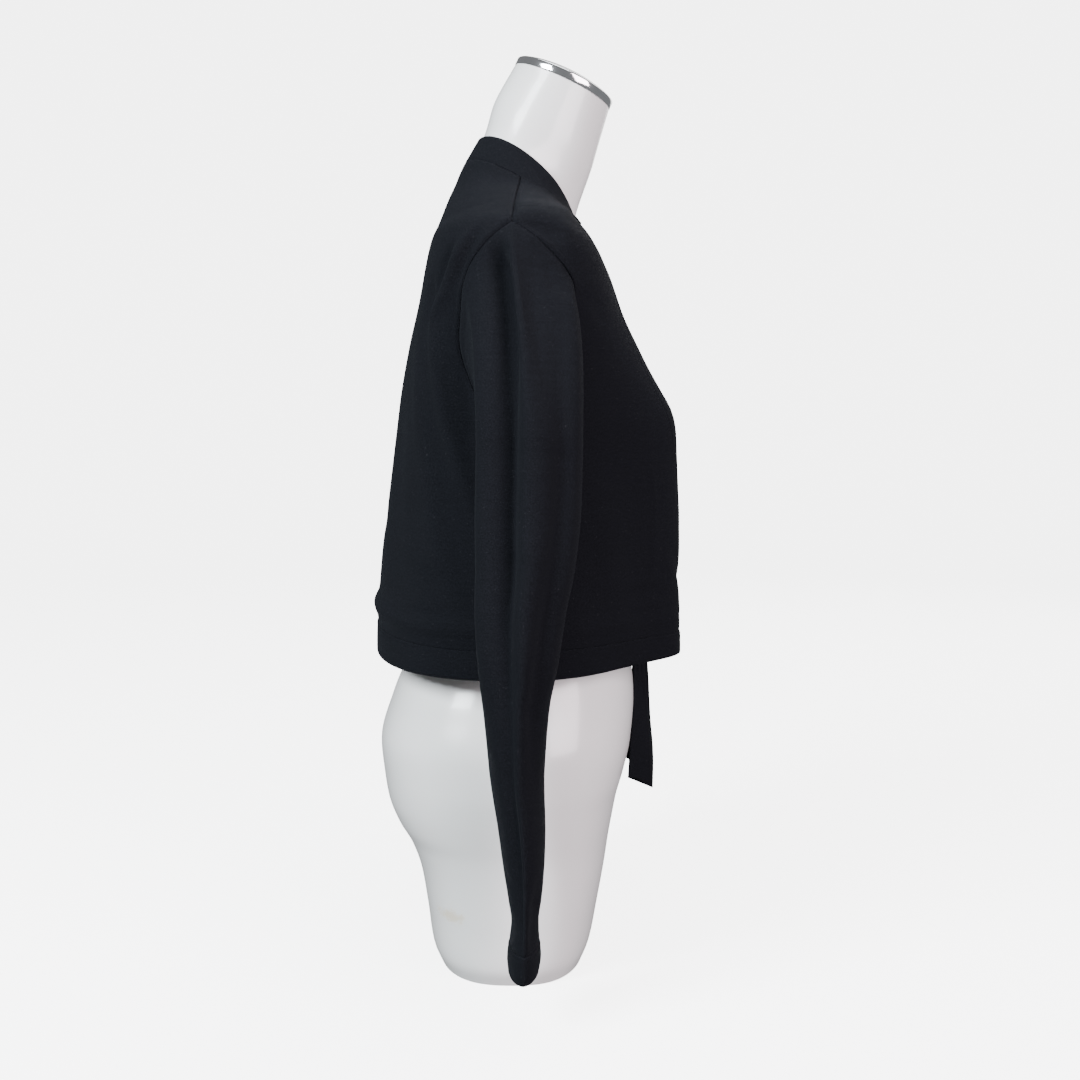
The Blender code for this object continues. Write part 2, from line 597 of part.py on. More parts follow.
def hem_levels():
    top = HEM_TOP + HEM_SEAM
    return [top, top + HEM_FIRST_ROW, (top + 1.0) / 2.0, 1.0]


def neck_band(name, material, home):
    keys = band_keys()
    signed = [(-1, t) for t in keys[:0:-1]] + [(1, t) for t in keys]
    grid = []
    for side, t in signed:
        line = []
        for share in BAND_SHARES:
            alpha, v = band_place(side, t, BAND_WIDTH * share)
            line.append(cloth_point(side, alpha, v, BAND_RAISE))
        grid.append(line)
    return cloth_wall(name, grid, False, False, BAND_WALL, material, home)


def hem_band(name, side, material, home):
    """One length of the hem band: side -1 or 1 for a front, 0 for the back."""
    grid = []
    for v in hem_levels():
        half = seam_half_gap(1, 90.0, v)
        if side:
            inner = seam_place(side, edge_key_at(v))[0]
            span = 90.0 - half - inner
            line = [cloth_point(side, inner + span * s, v, BAND_RAISE) for s in shares(FRONT_COLUMNS)]
        else:
            span = 180.0 - 2.0 * half
            turns = shares(2 * (BACK_NECK_COLUMNS + BACK_SHOULDER_COLUMNS))
            line = [cloth_point(-1, 90.0 + half + span * s, v, BAND_RAISE) for s in turns]
        grid.append(line)
    return cloth_wall(name, grid, side <= 0, False, BAND_WALL, material, home)


def key_where(reached, low, high):
    """Key of the neck edge at which a condition first holds."""
    for _ in range(30):
        middle = (low + high) / 2.0
        if reached(middle):
            high = middle
        else:
            low = middle
    return (low + high) / 2.0


def edge_key_at(v):
    """Key of the neck edge where it reaches one level on the lower front."""
    return key_where(lambda t: EDGE.at(t).v >= v, 0.5, 1.0)


T_SHOULDER = key_where(lambda t: seam_place(1, t)[0] <= 90.0, 0.2, 0.4)
T_HEM_SEAM = edge_key_at(HEM_TOP)


def armhole_place(theta):
    """Surface coordinates of the armhole at a sleeve angle."""
    theta = theta % 360.0
    front = theta <= 180.0
    share = theta / 180.0 if front else (360.0 - theta) / 180.0
    v = ARMHOLE_TOP + (ARMHOLE_FOOT - ARMHOLE_TOP) * share
    arm = ARM.at(v)
    return (arm.front_alpha if front else arm.back_alpha), v


def sleeve_section(side, theta, z):
    row = SLEEVE.at(z)
    cosine = math.cos(math.radians(theta))
    sine = math.sin(math.radians(theta))
    x = math.copysign(abs(cosine) ** (2.0 / row.power), cosine) * row.half_x
    y = math.copysign(abs(sine) ** (2.0 / row.power), sine) * row.half_y
    return np.array([side * (row.centre_x + x), row.centre_y - y, z])


def sleeve_start(side, theta):
    """First point of the sleeve, a seam's gap inside the armhole, and its direction."""
    alpha, v = armhole_place(theta)
    point = cloth_point(side, alpha, v)
    _, _, _, normal = surface_frame(CLOTH, CLOTH_FULLNESS, side, alpha, v)
    before = cloth_point(side, *armhole_place(theta - 3.0))
    after = cloth_point(side, *armhole_place(theta + 3.0))
    inward = np.cross(normal, after - before)
    inward /= np.linalg.norm(inward)
    middle = np.array([side * ARMHOLE_MIDDLE[0], ARMHOLE_MIDDLE[1], ARMHOLE_MIDDLE[2]])
    if np.dot(inward, middle - point) < 0.0:
        inward = -inward
    over = max(0.0, math.cos(math.radians(theta))) ** 1.5
    over = max(over, BACK_TUCK * max(0.0, -math.sin(math.radians(theta))))
    leave = normal * (1.0 - over) + inward * over
    return point + inward * SEAM_GAP, leave / np.linalg.norm(leave)


def sleeve_base(side, theta, u):
    """u runs 0 to 1 over the cap and 1 to 2 down to the cuff seam."""
    if u >= 1.0:
        return sleeve_section(side, theta, ARM_HEAD_Z + (CUFF_FOOT_Z - ARM_HEAD_Z) * (u - 1.0))
    start, leave = sleeve_start(side, theta)
    end = sleeve_section(side, theta, ARM_HEAD_Z)
    down = end - sleeve_section(side, theta, ARM_HEAD_Z + 0.02)
    down /= np.linalg.norm(down)
    span = np.linalg.norm(end - start)
    part = start * (2 * u ** 3 - 3 * u ** 2 + 1) + end * (3 * u ** 2 - 2 * u ** 3)
    part = part + leave * span * CAP_LEAVE_PULL * (u ** 3 - 2 * u ** 2 + u)
    return part - np.array([0.0, 0.0, span * CAP_ARRIVE_PULL]) * (u ** 3 - u ** 2)


def crease_height(side, theta, z):
    total = 0.0
    for crease in SLEEVE_CREASES:
        if crease.side != side:
            continue
        f = (crease.z_top - z) / (crease.z_top - crease.z_low)
        if f < -0.15 or f > 1.15:
            continue
        line = crease.t_top + (crease.t_low - crease.t_top) * f
        off = ((theta - line + 180.0) % 360.0 - 180.0) / crease.width
        ends = smooth((f + 0.15) / 0.35) * smooth((1.15 - f) / 0.4)
        total += crease.height * math.exp(-off * off) * ends
    return total


def sleeve_point(side, theta, u, out=0.0):
    point = sleeve_base(side, theta, u)
    turn = sleeve_base(side, theta + 2.0, u) - sleeve_base(side, theta - 2.0, u)
    fall = sleeve_base(side, theta, min(u + 0.01, 2.0)) - sleeve_base(side, theta, max(u - 0.01, 0.0))
    normal = side * np.cross(turn, fall)
    normal /= np.linalg.norm(normal)
    settled = smooth(u / 0.35)
    return point + normal * (out + crease_height(side, theta, point[2]) * settled)


SLEEVE_ANGLES = [360.0 * j / (2 * PANEL_ARM_STEPS) for j in range(2 * PANEL_ARM_STEPS)]


def u_at(z):
    return 1.0 + (ARM_HEAD_Z - z) / (ARM_HEAD_Z - CUFF_FOOT_Z)


def sleeve(side, name, material, home):
    levels = [0.0, 0.02] + [i / SLEEVE_CAP_STEPS for i in range(1, SLEEVE_CAP_STEPS)]
    levels += [u_at(z) for z in np.linspace(ARM_HEAD_Z, CUFF_TOP_Z, SLEEVE_LOW_STEPS + 1)]
    grid = [[sleeve_point(side, theta, u) for theta in SLEEVE_ANGLES] for u in levels]
    return cloth_wall(name, grid, side > 0, True, WALL, material, home)


def cuff(side, name, material, home):
    levels = [u_at(z) for z in np.linspace(CUFF_TOP_Z - SEAM_GAP, CUFF_FOOT_Z, 3)]
    grid = [[sleeve_point(side, theta, u, BAND_RAISE) for theta in SLEEVE_ANGLES] for u in levels]
    return cloth_wall(name, grid, side > 0, True, BAND_WALL, material, home)


def tie(side, name, material, home):
    grid = []
    for i in range(11):
        drop = i / 10.0
        row = TIE.at(drop)
        line = []
        for j in range(4):
            f = j / 3.0
            foot = TIE_REAR_END[side] * (1.0 - f) + TIE_FRONT_END[side] * f
            foot += TIE_HOLLOW * math.sin(math.pi * f)
            z = TIE_TOP + (foot - TIE_TOP) * drop
            x = side * (row.rear_x + (row.front_x - row.rear_x) * f)
            y = row.rear_y + (row.front_y - row.rear_y) * f
            y -= TIE_BULGE * math.sin(math.pi * f) * math.sin(math.pi * drop)
            line.append(np.array([x, y, z]))
        grid.append(line)
    return cloth_wall(name, grid, side > 0, False, WALL, material, home)


def knot(name, material, home):
    """Small soft knot with one wrap across its middle."""
    bm = bmesh.new()
    bmesh.ops.create_uvsphere(bm, u_segments=18, v_segments=9, radius=1.0)
    for vert in bm.verts:
        unit = vert.co.copy()
        wrap = 1.0 - KNOT_WRAP * (1.0 - math.exp(-(unit.x * 2.2 - unit.z * 0.6) ** 2))
        for axis in range(3):
            vert.co[axis] = KNOT_CENTRE[axis] + KNOT_HALF[axis] * unit[axis] * wrap
    return finish(bm, name, material, home)


def form_point(side, alpha, v):
    """The form follows the cloth at neck and shoulders, set in by the wall and a small clearance."""
    point, _, _, normal = surface_frame(FORM, FORM_FULLNESS, side, alpha, v)
    inset = NECK_INSET + (SHOULDER_INSET - NECK_INSET) * smooth(v / 0.10)
    inset *= smooth((v + 0.07) / 0.07) * (1.0 - smooth((v - 0.38) / 0.09))
    return point - normal * inset


def form_body(name, material, home):
    levels = list(np.linspace(-0.14, 0.0, 4)[:-1])
    levels += list(np.linspace(0.0, 0.12, 7)[:-1])
    levels += list(np.linspace(0.12, 0.38, 9)[:-1])
    levels += list(np.linspace(0.38, 1.46, 23))
    grid = []
    for v in levels:
        line = []
        for j in range(FORM_COLUMNS):
            turn = 360.0 * j / FORM_COLUMNS
            side = 1 if turn <= 180.0 else -1
            line.append(form_point(side, turn if turn <= 180.0 else 360.0 - turn, v))
        grid.append(line)
    for point in grid[0]:
        point[2] = CAP_CENTRE[2] + (point[1] - CAP_CENTRE[1]) * math.tan(CAP_TILT)
    for point in grid[-1]:
        point[2] = 0.0
    bm = bent_grid(grid, False, True)
    bmesh.ops.holes_fill(bm, edges=bm.edges, sides=0)
    bmesh.ops.recalc_face_normals(bm, faces=bm.faces)
    return finish(bm, name, material, home)


def form_cap(name, material, home):
    """Turned cap: a profile round the neck's leaning axis."""
    bm = bmesh.new()
    profile = [(0.0, CAP_TOP)] + CAP_PROFILE + [(0.0, CAP_PROFILE[-1][1])]
    verts = [bm.verts.new((radius, 0.0, height)) for radius, height in profile]
    for first, second in zip(verts, verts[1:]):
        bm.edges.new((first, second))
    obj = finish(bm, name, material, home)
    obj.location = CAP_CENTRE
    obj.rotation_euler = (CAP_TILT, 0.0, 0.0)
    screw = obj.modifiers.new("turn", "SCREW")
    screw.angle = 2.0 * math.pi
    screw.steps = CAP_SEGMENTS
    screw.render_steps = CAP_SEGMENTS
    screw.use_merge_vertices = True
    screw.merge_threshold = 0.00001
    screw.use_smooth_shade = True
    return obj


def principled(name, colour, roughness, metallic):
    material = bpy.data.materials.new(name)
    material.use_nodes = True
    shader = material.node_tree.nodes["Principled BSDF"]
    shader.inputs["Base Color"].default_value = (*colour, 1.0)
    shader.inputs["Roughness"].default_value = roughness
    shader.inputs["Metallic"].default_value = metallic
    material.diffuse_color = (*colour, 1.0)
    return material


def main():
    for old in list(bpy.data.objects):
        bpy.data.objects.remove(old, do_unlink=True)
    home = bpy.data.collections.new("cardigan_on_form")
    bpy.context.scene.collection.children.link(home)
    knit = principled("knit", (0.012, 0.012, 0.014), 0.85, 0.0)
    shell = principled("form_shell", (0.80, 0.80, 0.79), 0.25, 0.0)
    chrome = principled("cap_chrome", (0.75, 0.75, 0.76), 0.12, 1.0)
    form_body("form_body", shell, home)
    form_cap("form_cap", chrome, home)
    back_panel("back", knit, home)
    front_panel(-1, "front_right", knit, home)
    front_panel(1, "front_left", knit, home)
    sleeve(-1, "sleeve_right", knit, home)
    sleeve(1, "sleeve_left", knit, home)
    neck_band("neck_band", knit, home)
    hem_band("hem_back", 0, knit, home)
    hem_band("hem_right", -1, knit, home)
    hem_band("hem_left", 1, knit, home)
    cuff(-1, "cuff_right", knit, home)
    cuff(1, "cuff_left", knit, home)
    tie(-1, "tie_right", knit, home)
    tie(1, "tie_left", knit, home)
    knot("tie_knot", knit, home)


main()
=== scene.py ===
"""Visual model of a cropped tie-front cardigan in near-black jersey, worn by a white dress form."""

import math
from collections import namedtuple

import bmesh
import bpy
import numpy as np
from bpy.props import FloatProperty, FloatVectorProperty, PointerProperty
from mathutils import Matrix, Vector


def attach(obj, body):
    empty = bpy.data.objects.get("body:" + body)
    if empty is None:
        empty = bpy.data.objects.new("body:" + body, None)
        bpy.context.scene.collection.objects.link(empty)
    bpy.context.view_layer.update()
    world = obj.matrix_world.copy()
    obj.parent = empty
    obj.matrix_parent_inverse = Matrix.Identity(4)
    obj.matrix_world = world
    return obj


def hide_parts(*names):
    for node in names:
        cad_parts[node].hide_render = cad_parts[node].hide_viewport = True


bl_info = {
    "name": "Tie-front cardigan",
    "version": (1, 0, 0),
    "blender": (4, 5, 0),
    "location": "3D View > Sidebar > Cardigan",
    "description": "Builds a cropped jersey cardigan, its dress form and a plain studio",
    "category": "Object",
}

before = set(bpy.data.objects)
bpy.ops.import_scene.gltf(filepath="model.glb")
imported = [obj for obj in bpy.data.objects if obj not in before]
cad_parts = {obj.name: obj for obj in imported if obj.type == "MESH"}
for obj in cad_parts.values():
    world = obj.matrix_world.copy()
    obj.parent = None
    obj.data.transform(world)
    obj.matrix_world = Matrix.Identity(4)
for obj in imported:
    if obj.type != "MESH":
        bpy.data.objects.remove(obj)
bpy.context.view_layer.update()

# The right side of the wearer has x below 0
SIDES = ((-1.0, "right"), (1.0, "left"))

# Sizes of the cloth, and the levels of the armhole and the hem band's top
SEAM_GAP = 0.0003
BAND_WIDTH = 0.026
HEM_WIDTH = 0.0243
HEM_TOP = 0.943
ARMHOLE_TOP = 0.27
ARMHOLE_FOOT = 0.62

# Front fullness: two soft mounds where the fronts hang clear of the body
MOUND_X = 0.085
MOUND_WIDTH = 0.040

# Blousing of the panels over the hem band
BLOUSE_AT = 0.911
BLOUSE_WIDTH = 0.015
BLOUSE_BACK = 0.0044
BLOUSE_FRONT = 0.0010

# How far the form lies inside the outer face of the cloth at the neck and over the shoulders, and
# what is added beside the armholes
NECK_INSET = 0.0034
SHOULDER_INSET = 0.0050
UNDERARM_INSET = 0.0034

# Half a seam's gap on a panel, and the panel's distance from the neck band, as shares of the gap
PANEL_SEAM = 0.85
BAND_SEAM = 0.5

# The hem band's top below the panels, as a share of the cloth's length
HEM_SEAM = 0.0005

# A ring runs from the front centre (0 deg) by the side (90 deg) to the back centre (180 deg).
# power is the squareness; tilt is 1 where the ring is a leaning plane, 0 where it drapes.
Ring = namedtuple("Ring", "name v centre_y side_x side_z front_y front_z back_y back_z power tilt")

SHARED_RINGS = [
    Ring("neck_edge", 0.00, -0.0090, 0.0570, 0.7450, -0.0602, 0.682, 0.0350, 0.763, 2.0, 1.0),
    Ring("neck_seam", 0.06, -0.0060, 0.0710, 0.7160, -0.0678, 0.660, 0.0560, 0.725, 2.1, 0.6),
    Ring("mid_shoulder", 0.14, -0.0030, 0.1080, 0.6980, -0.0755, 0.634, 0.0655, 0.699, 2.2, 0.2),
    Ring("shoulder", 0.22, -0.0010, 0.1460, 0.6800, -0.0855, 0.612, 0.0738, 0.672, 2.35, 0.0),
    Ring("shoulder_tip", 0.27, 0.0, 0.1655, 0.6670, -0.0920, 0.598, 0.0795, 0.655, 2.4, 0.0),
    Ring("over_tip", 0.31, 0.0, 0.1705, 0.6510, -0.0978, 0.583, 0.0838, 0.635, 2.4, 0.0),
    Ring("armhole_upper", 0.38, 0.0, 0.1690, 0.6180, -0.1065, 0.555, 0.0900, 0.602, 2.4, 0.0),
]

CLOTH_RINGS = SHARED_RINGS + [
    Ring("armhole_middle", 0.47, 0.0, 0.1640, 0.5700, -0.1175, 0.523, 0.0990, 0.566, 2.4, 0.0),
    Ring("armhole_lower", 0.56, 0.0, 0.1605, 0.5220, -0.1285, 0.495, 0.1075, 0.520, 2.4, 0.0),
    Ring("underarm", 0.62, 0.0, 0.1605, 0.4900, -0.1315, 0.475, 0.1115, 0.487, 2.4, 0.0),
    Ring("ribs", 0.72, 0.0, 0.1660, 0.4300, -0.1300, 0.422, 0.1180, 0.431, 2.4, 0.0),
    Ring("waist", 0.84, 0.0, 0.1765, 0.3600, -0.1260, 0.357, 0.1255, 0.366, 2.4, 0.0),
    Ring("above_hem", 0.93, 0.0, 0.1850, 0.3080, -0.1235, 0.312, 0.1283, 0.318, 2.4, 0.0),
    Ring("hem", 1.00, 0.0, 0.1885, 0.2770, -0.1225, 0.289, 0.1288, 0.2835, 2.4, 0.0),
]

FORM_RINGS = [
    Ring("cap_seam", -0.14, -0.0450, 0.0495, 0.8140, -0.0900, 0.793, 0.0000, 0.835, 2.0, 1.0),
    Ring("neck_middle", -0.07, -0.0275, 0.0505, 0.7790, -0.0755, 0.743, 0.0185, 0.802, 2.0, 1.0),
] + SHARED_RINGS + [
    Ring("chest", 0.47, 0.0, 0.1595, 0.5700, -0.1140, 0.523, 0.0945, 0.567, 2.4, 0.0),
    Ring("bust", 0.60, 0.0, 0.1500, 0.4950, -0.1255, 0.480, 0.0930, 0.500, 2.4, 0.0),
    Ring("under_bust", 0.70, -0.008, 0.1340, 0.4370, -0.1080, 0.434, 0.0780, 0.440, 2.3, 0.0),
    Ring("form_waist", 0.80, -0.016, 0.1160, 0.3800, -0.0930, 0.380, 0.0590, 0.380, 2.2, 0.0),
    Ring("high_hip", 0.92, -0.006, 0.1380, 0.3050, -0.1050, 0.305, 0.0860, 0.305, 2.4, 0.0),
    Ring("belly", 1.02, 0.0, 0.1580, 0.2400, -0.1123, 0.240, 0.1145, 0.240, 2.6, 0.0),
    Ring("hip", 1.09, 0.0, 0.1665, 0.2000, -0.1092, 0.200, 0.1251, 0.200, 2.6, 0.0),
    Ring("seat", 1.14, 0.0, 0.1650, 0.1720, -0.1030, 0.172, 0.1222, 0.172, 2.6, 0.0),
    Ring("seat_foot", 1.18, 0.0, 0.1610, 0.1500, -0.0965, 0.150, 0.1185, 0.150, 2.6, 0.0),
    Ring("under_seat", 1.22, 0.0, 0.1560, 0.1300, -0.0925, 0.130, 0.1105, 0.130, 2.6, 0.0),
    Ring("thigh", 1.26, 0.0, 0.1510, 0.1110, -0.0890, 0.111, 0.0985, 0.111, 2.6, 0.0),
    Ring("low_thigh", 1.31, 0.0, 0.1465, 0.0850, -0.0850, 0.085, 0.0885, 0.085, 2.6, 0.0),
    Ring("above_foot", 1.37, 0.0, 0.1420, 0.0500, -0.0785, 0.050, 0.0820, 0.050, 2.6, 0.0),
    Ring("foot_round", 1.43, 0.0, 0.1380, 0.0160, -0.0715, 0.016, 0.0768, 0.016, 2.6, 0.0),
    Ring("foot", 1.46, 0.0, 0.1300, 0.0000, -0.0650, 0.000, 0.0700, 0.000, 2.6, 0.0),
]

Mound = namedtuple("Mound", "name z height")

CLOTH_MOUNDS = [
    Mound("hem", 0.270, 0.0360),
    Mound("waist", 0.380, 0.0325),
    Mound("bust", 0.475, 0.0278),
    Mound("over_bust", 0.497, 0.0272),
    Mound("upper", 0.526, 0.0200),
    Mound("chest", 0.555, 0.0120),
    Mound("high_chest", 0.600, 0.0022),
    Mound("shoulder", 0.640, 0.0),
]

FORM_MOUNDS = [
    Mound("waist", 0.380, 0.0),
    Mound("rise", 0.420, 0.0110),
    Mound("bust", 0.475, 0.0268),
    Mound("over_bust", 0.497, 0.0262),
    Mound("upper", 0.526, 0.0192),
    Mound("chest", 0.555, 0.0116),
    Mound("high_chest", 0.600, 0.0020),
    Mound("shoulder", 0.640, 0.0),
]

# Free edge of the neck band, from the nape round the neck and down one front
Edge = namedtuple("Edge", "name t alpha v")

NECK_EDGE = [
    Edge("nape", 0.00, 180.0, 0.000),
    Edge("back_quarter", 0.14, 135.0, 0.000),
    Edge("side", 0.28, 90.0, 0.000),
    Edge("front_turn", 0.35, 61.5, 0.001),
    Edge("leaves_neck", 0.40, 43.5, 0.010),
    Edge("neck_front", 0.45, 35.0, 0.050),
    Edge("chest_top", 0.53, 34.8, 0.185),
    Edge("chest", 0.61, 35.2, 0.320),
    Edge("chest_low", 0.68, 33.8, 0.440),
    Edge("bust_top", 0.75, 31.0, 0.560),
    Edge("bust", 0.79, 28.5, 0.620),
    Edge("under_bust", 0.85, 25.0, 0.720),
    Edge("waist", 0.92, 18.8, 0.840),
    Edge("low_waist", 0.955, 13.2, 0.900),
    Edge("hem_seam", 0.98, 8.4, 0.950),
    Edge("hem", 1.00, 6.2, 1.000),
]

# Armhole seen from the side: angle of its front and back edge at each level
Armhole = namedtuple("Armhole", "name v front_alpha back_alpha")

ARMHOLE = [
    Armhole("top", 0.27, 90.0, 90.0),
    Armhole("shoulder", 0.31, 81.5, 97.0),
    Armhole("upper", 0.38, 71.0, 105.5),
    Armhole("middle", 0.47, 71.0, 108.0),
    Armhole("lower", 0.56, 77.5, 102.5),
    Armhole("underarm", 0.62, 90.0, 90.0),
]

SIDE_SEAM_LEVELS = [0.655, 0.695, 0.74, 0.785, 0.83, 0.87, 0.90, 0.92, 0.934, 0.943]

# Keys of the neck edge at the rows of the front panel, shoulder seam to hem seam
FRONT_SEAM_KEYS = [0.332, 0.35, 0.37, 0.39, 0.415, 0.445, 0.48, 0.53, 0.59, 0.65, 0.72, 0.79,
                   0.815, 0.845, 0.87, 0.895, 0.915, 0.935, 0.95, 0.962, 0.971]

# Folds of the body cloth: a soft ridge (height > 0) or trough along a curve of angle against z
Fold = namedtuple("Fold", "name side z_top a_top a_middle z_low a_low width height")

BODY_FOLDS = [
    Fold("drag_armhole", -1, 0.660, 100.0, 104.0, 0.615, 107.5, 0.0062, -0.0030),
    Fold("drag_high", -1, 0.652, 105.0, 111.0, 0.588, 116.5, 0.0070, 0.0044),
    Fold("drag_middle", -1, 0.645, 110.5, 115.0, 0.602, 117.5, 0.0055, -0.0040),
    Fold("drag_low", -1, 0.620, 121.5, 121.0, 0.582, 121.0, 0.0060, -0.0036),
    Fold("underarm_hollow", -1, 0.615, 109.0, 106.0, 0.480, 101.5, 0.0090, -0.0040),
    Fold("sleeve_fall", -1, 0.590, 117.5, 112.5, 0.430, 102.5, 0.0090, 0.0062),
    Fold("long_fall", -1, 0.575, 127.0, 119.5, 0.345, 106.5, 0.0140, 0.0044),
    Fold("long_trough", -1, 0.520, 145.0, 138.0, 0.340, 128.0, 0.0200, -0.0024),
    Fold("drag_armhole", 1, 0.657, 101.0, 105.0, 0.612, 109.0, 0.0065, -0.0022),
    Fold("drag_high", 1, 0.648, 107.0, 112.0, 0.592, 119.0, 0.0080, 0.0026),
    Fold("drag_low", 1, 0.625, 124.0, 124.5, 0.575, 123.0, 0.0065, -0.0018),
    Fold("sleeve_fall", 1, 0.598, 121.0, 116.0, 0.440, 105.0, 0.0120, 0.0038),
    Fold("long_fall", 1, 0.572, 138.0, 130.0, 0.360, 118.0, 0.0150, 0.0030),
    Fold("long_trough", 1, 0.505, 154.0, 146.0, 0.335, 134.0, 0.0180, -0.0020),
    Fold("centre_fall", 1, 0.470, 171.0, 173.0, 0.330, 172.0, 0.0200, 0.0016),
    Fold("knot_pull_low", -1, 0.318, 33.0, 23.0, 0.283, 15.0, 0.0090, -0.0030),
    Fold("knot_pull_middle", -1, 0.372, 38.0, 30.0, 0.300, 19.0, 0.0090, -0.0026),
    Fold("knot_pull_low", 1, 0.322, 35.0, 24.0, 0.284, 15.0, 0.0090, -0.0028),
    Fold("knot_pull_middle", 1, 0.365, 37.0, 29.0, 0.298, 19.0, 0.0100, -0.0026),
    Fold("front_hang", -1, 0.430, 62.0, 60.0, 0.300, 56.0, 0.0160, 0.0018),
    Fold("front_hang", 1, 0.445, 60.0, 61.0, 0.305, 58.0, 0.0160, 0.0022),
    Fold("collar_full", -1, 0.730, 76.0, 60.0, 0.650, 48.0, 0.0300, 0.0020),
    Fold("collar_full", 1, 0.730, 76.0, 60.0, 0.650, 48.0, 0.0300, 0.0020),
    Fold("side_hang", -1, 0.440, 84.0, 80.0, 0.300, 78.0, 0.0160, -0.0018),
    Fold("side_hang", 1, 0.450, 82.0, 81.0, 0.310, 77.0, 0.0160, -0.0022),
]

# Sleeve sections below the cap; power under 2 gives the flattened cloth its edges
Section = namedtuple("Section", "name z centre_x centre_y half_x half_y power")

SLEEVE_SECTIONS = [
    Section("cuff_edge", 0.0475, 0.2230, -0.0105, 0.0390, 0.0118, 1.8),
    Section("cuff_middle", 0.0600, 0.2232, -0.0110, 0.0398, 0.0130, 1.8),
    Section("cuff_seam", 0.0715, 0.2235, -0.0112, 0.0402, 0.0122, 1.8),
    Section("over_cuff", 0.0890, 0.2240, -0.0118, 0.0404, 0.0112, 1.75),
    Section("wrist", 0.1070, 0.2250, -0.0117, 0.0406, 0.0136, 1.75),
    Section("low_forearm", 0.1330, 0.2262, -0.0108, 0.0408, 0.0168, 1.75),
    Section("forearm", 0.1590, 0.2275, -0.0095, 0.0410, 0.0190, 1.75),
    Section("high_forearm", 0.2150, 0.2315, -0.0052, 0.0415, 0.0228, 1.8),
    Section("under_hem", 0.2620, 0.2352, -0.0048, 0.0415, 0.0268, 1.85),
    Section("hem_level", 0.3000, 0.2360, -0.0062, 0.0418, 0.0328, 1.95),
    Section("elbow", 0.3390, 0.2310, -0.0080, 0.0428, 0.0372, 2.05),
    Section("over_elbow", 0.3750, 0.2240, -0.0118, 0.0435, 0.0408, 2.1),
    Section("upper_arm", 0.4250, 0.2135, -0.0142, 0.0430, 0.0440, 2.2),
    Section("arm_head", 0.4700, 0.2060, -0.0152, 0.0415, 0.0445, 2.2),
]

ARM_HEAD_Z = 0.470
CUFF_TOP_Z = 0.0715
CUFF_FOOT_Z = 0.0475

# Sleeve cap: middle of the armhole, pull of its two ends, and how far the back turns in
ARMHOLE_MIDDLE = (0.164, -0.003, 0.578)
CAP_LEAVE_PULL = 0.55
CAP_ARRIVE_PULL = 0.85
BACK_TUCK = 0.75
CAP_TURN = 18.0

# Folds along the sleeve: theta is 0 outward, 90 to the front, 180 inward, 270 to the back; a fold
# is as wide as its width to the back and its front times that to the front
Crease = namedtuple("Crease", "name side z_top t_top z_low t_low width front height")

SLEEVE_CREASES = [
    Crease("back_trough", -1, 0.700, -19.0, 0.290, -15.0, 0.0150, 0.44, -0.0155),
    Crease("cap_trough", -1, 0.690, -23.0, 0.610, -20.0, 0.0070, 0.60, -0.0032),
    Crease("low_trough", -1, 0.330, -10.0, 0.090, -16.0, 0.0110, 0.60, -0.0052),
    Crease("back_ridge", -1, 0.600, -62.0, 0.240, -60.0, 0.0100, 1.00, 0.0026),
    Crease("trough_lip", -1, 0.690, -4.0, 0.290, -1.0, 0.0070, 1.60, 0.0028),
    Crease("middle_ridge", -1, 0.560, 5.0, 0.200, 5.0, 0.0110, 1.20, 0.0030),
    Crease("front_trough", -1, 0.575, 41.0, 0.225, 36.0, 0.0125, 0.90, -0.0062),
    Crease("inner_trough", -1, 0.440, 150.0, 0.190, 152.0, 0.0110, 1.00, -0.0045),
    Crease("wrist_dent", -1, 0.130, 48.0, 0.072, 40.0, 0.0110, 1.00, -0.0022),
    Crease("back_trough", 1, 0.676, -36.0, 0.305, -24.0, 0.0145, 0.65, -0.0105),
    Crease("low_trough", 1, 0.345, -14.0, 0.100, -12.0, 0.0110, 0.65, -0.0038),
    Crease("middle_ridge", 1, 0.630, 3.0, 0.215, -2.0, 0.0110, 1.00, 0.0024),
    Crease("front_trough", 1, 0.585, 38.0, 0.250, 33.0, 0.0120, 0.95, -0.0060),
    Crease("inner_trough", 1, 0.430, 148.0, 0.200, 154.0, 0.0110, 1.00, -0.0040),
    Crease("wrist_dent", 1, 0.140, 44.0, 0.075, 42.0, 0.0110, 1.00, -0.0020),
]

# Tie end: the strip's rear and front edge at each level, for one side
Strip = namedtuple("Strip", "name drop rear_x rear_y front_x front_y")

TIE_STRIP = [
    Strip("knot", 0.000, 0.0062, -0.1152, 0.0012, -0.1250),
    Strip("neck", 0.100, 0.0085, -0.1142, 0.0016, -0.1262),
    Strip("upper", 0.300, 0.0140, -0.1138, 0.0020, -0.1285),
    Strip("middle", 0.550, 0.0185, -0.1128, 0.0020, -0.1302),
    Strip("lower", 0.800, 0.0235, -0.1105, 0.0020, -0.1322),
    Strip("end", 1.000, 0.0260, -0.1085, 0.0020, -0.1318),
]
TIE_TOP = 0.2790
TIE_REAR_END = {-1: 0.158, 1: 0.166}
TIE_FRONT_END = {-1: 0.143, 1: 0.150}
TIE_HOLLOW = 0.003

# Relief of a tie: pleats gathered at the knot, a ripple down its length and a curl of its middle
TIE_GATHER = 0.0009
TIE_GATHER_FADE = 0.45
TIE_PLEATS = 3.0
TIE_RIPPLE = 0.0008
TIE_CURL = 0.0011

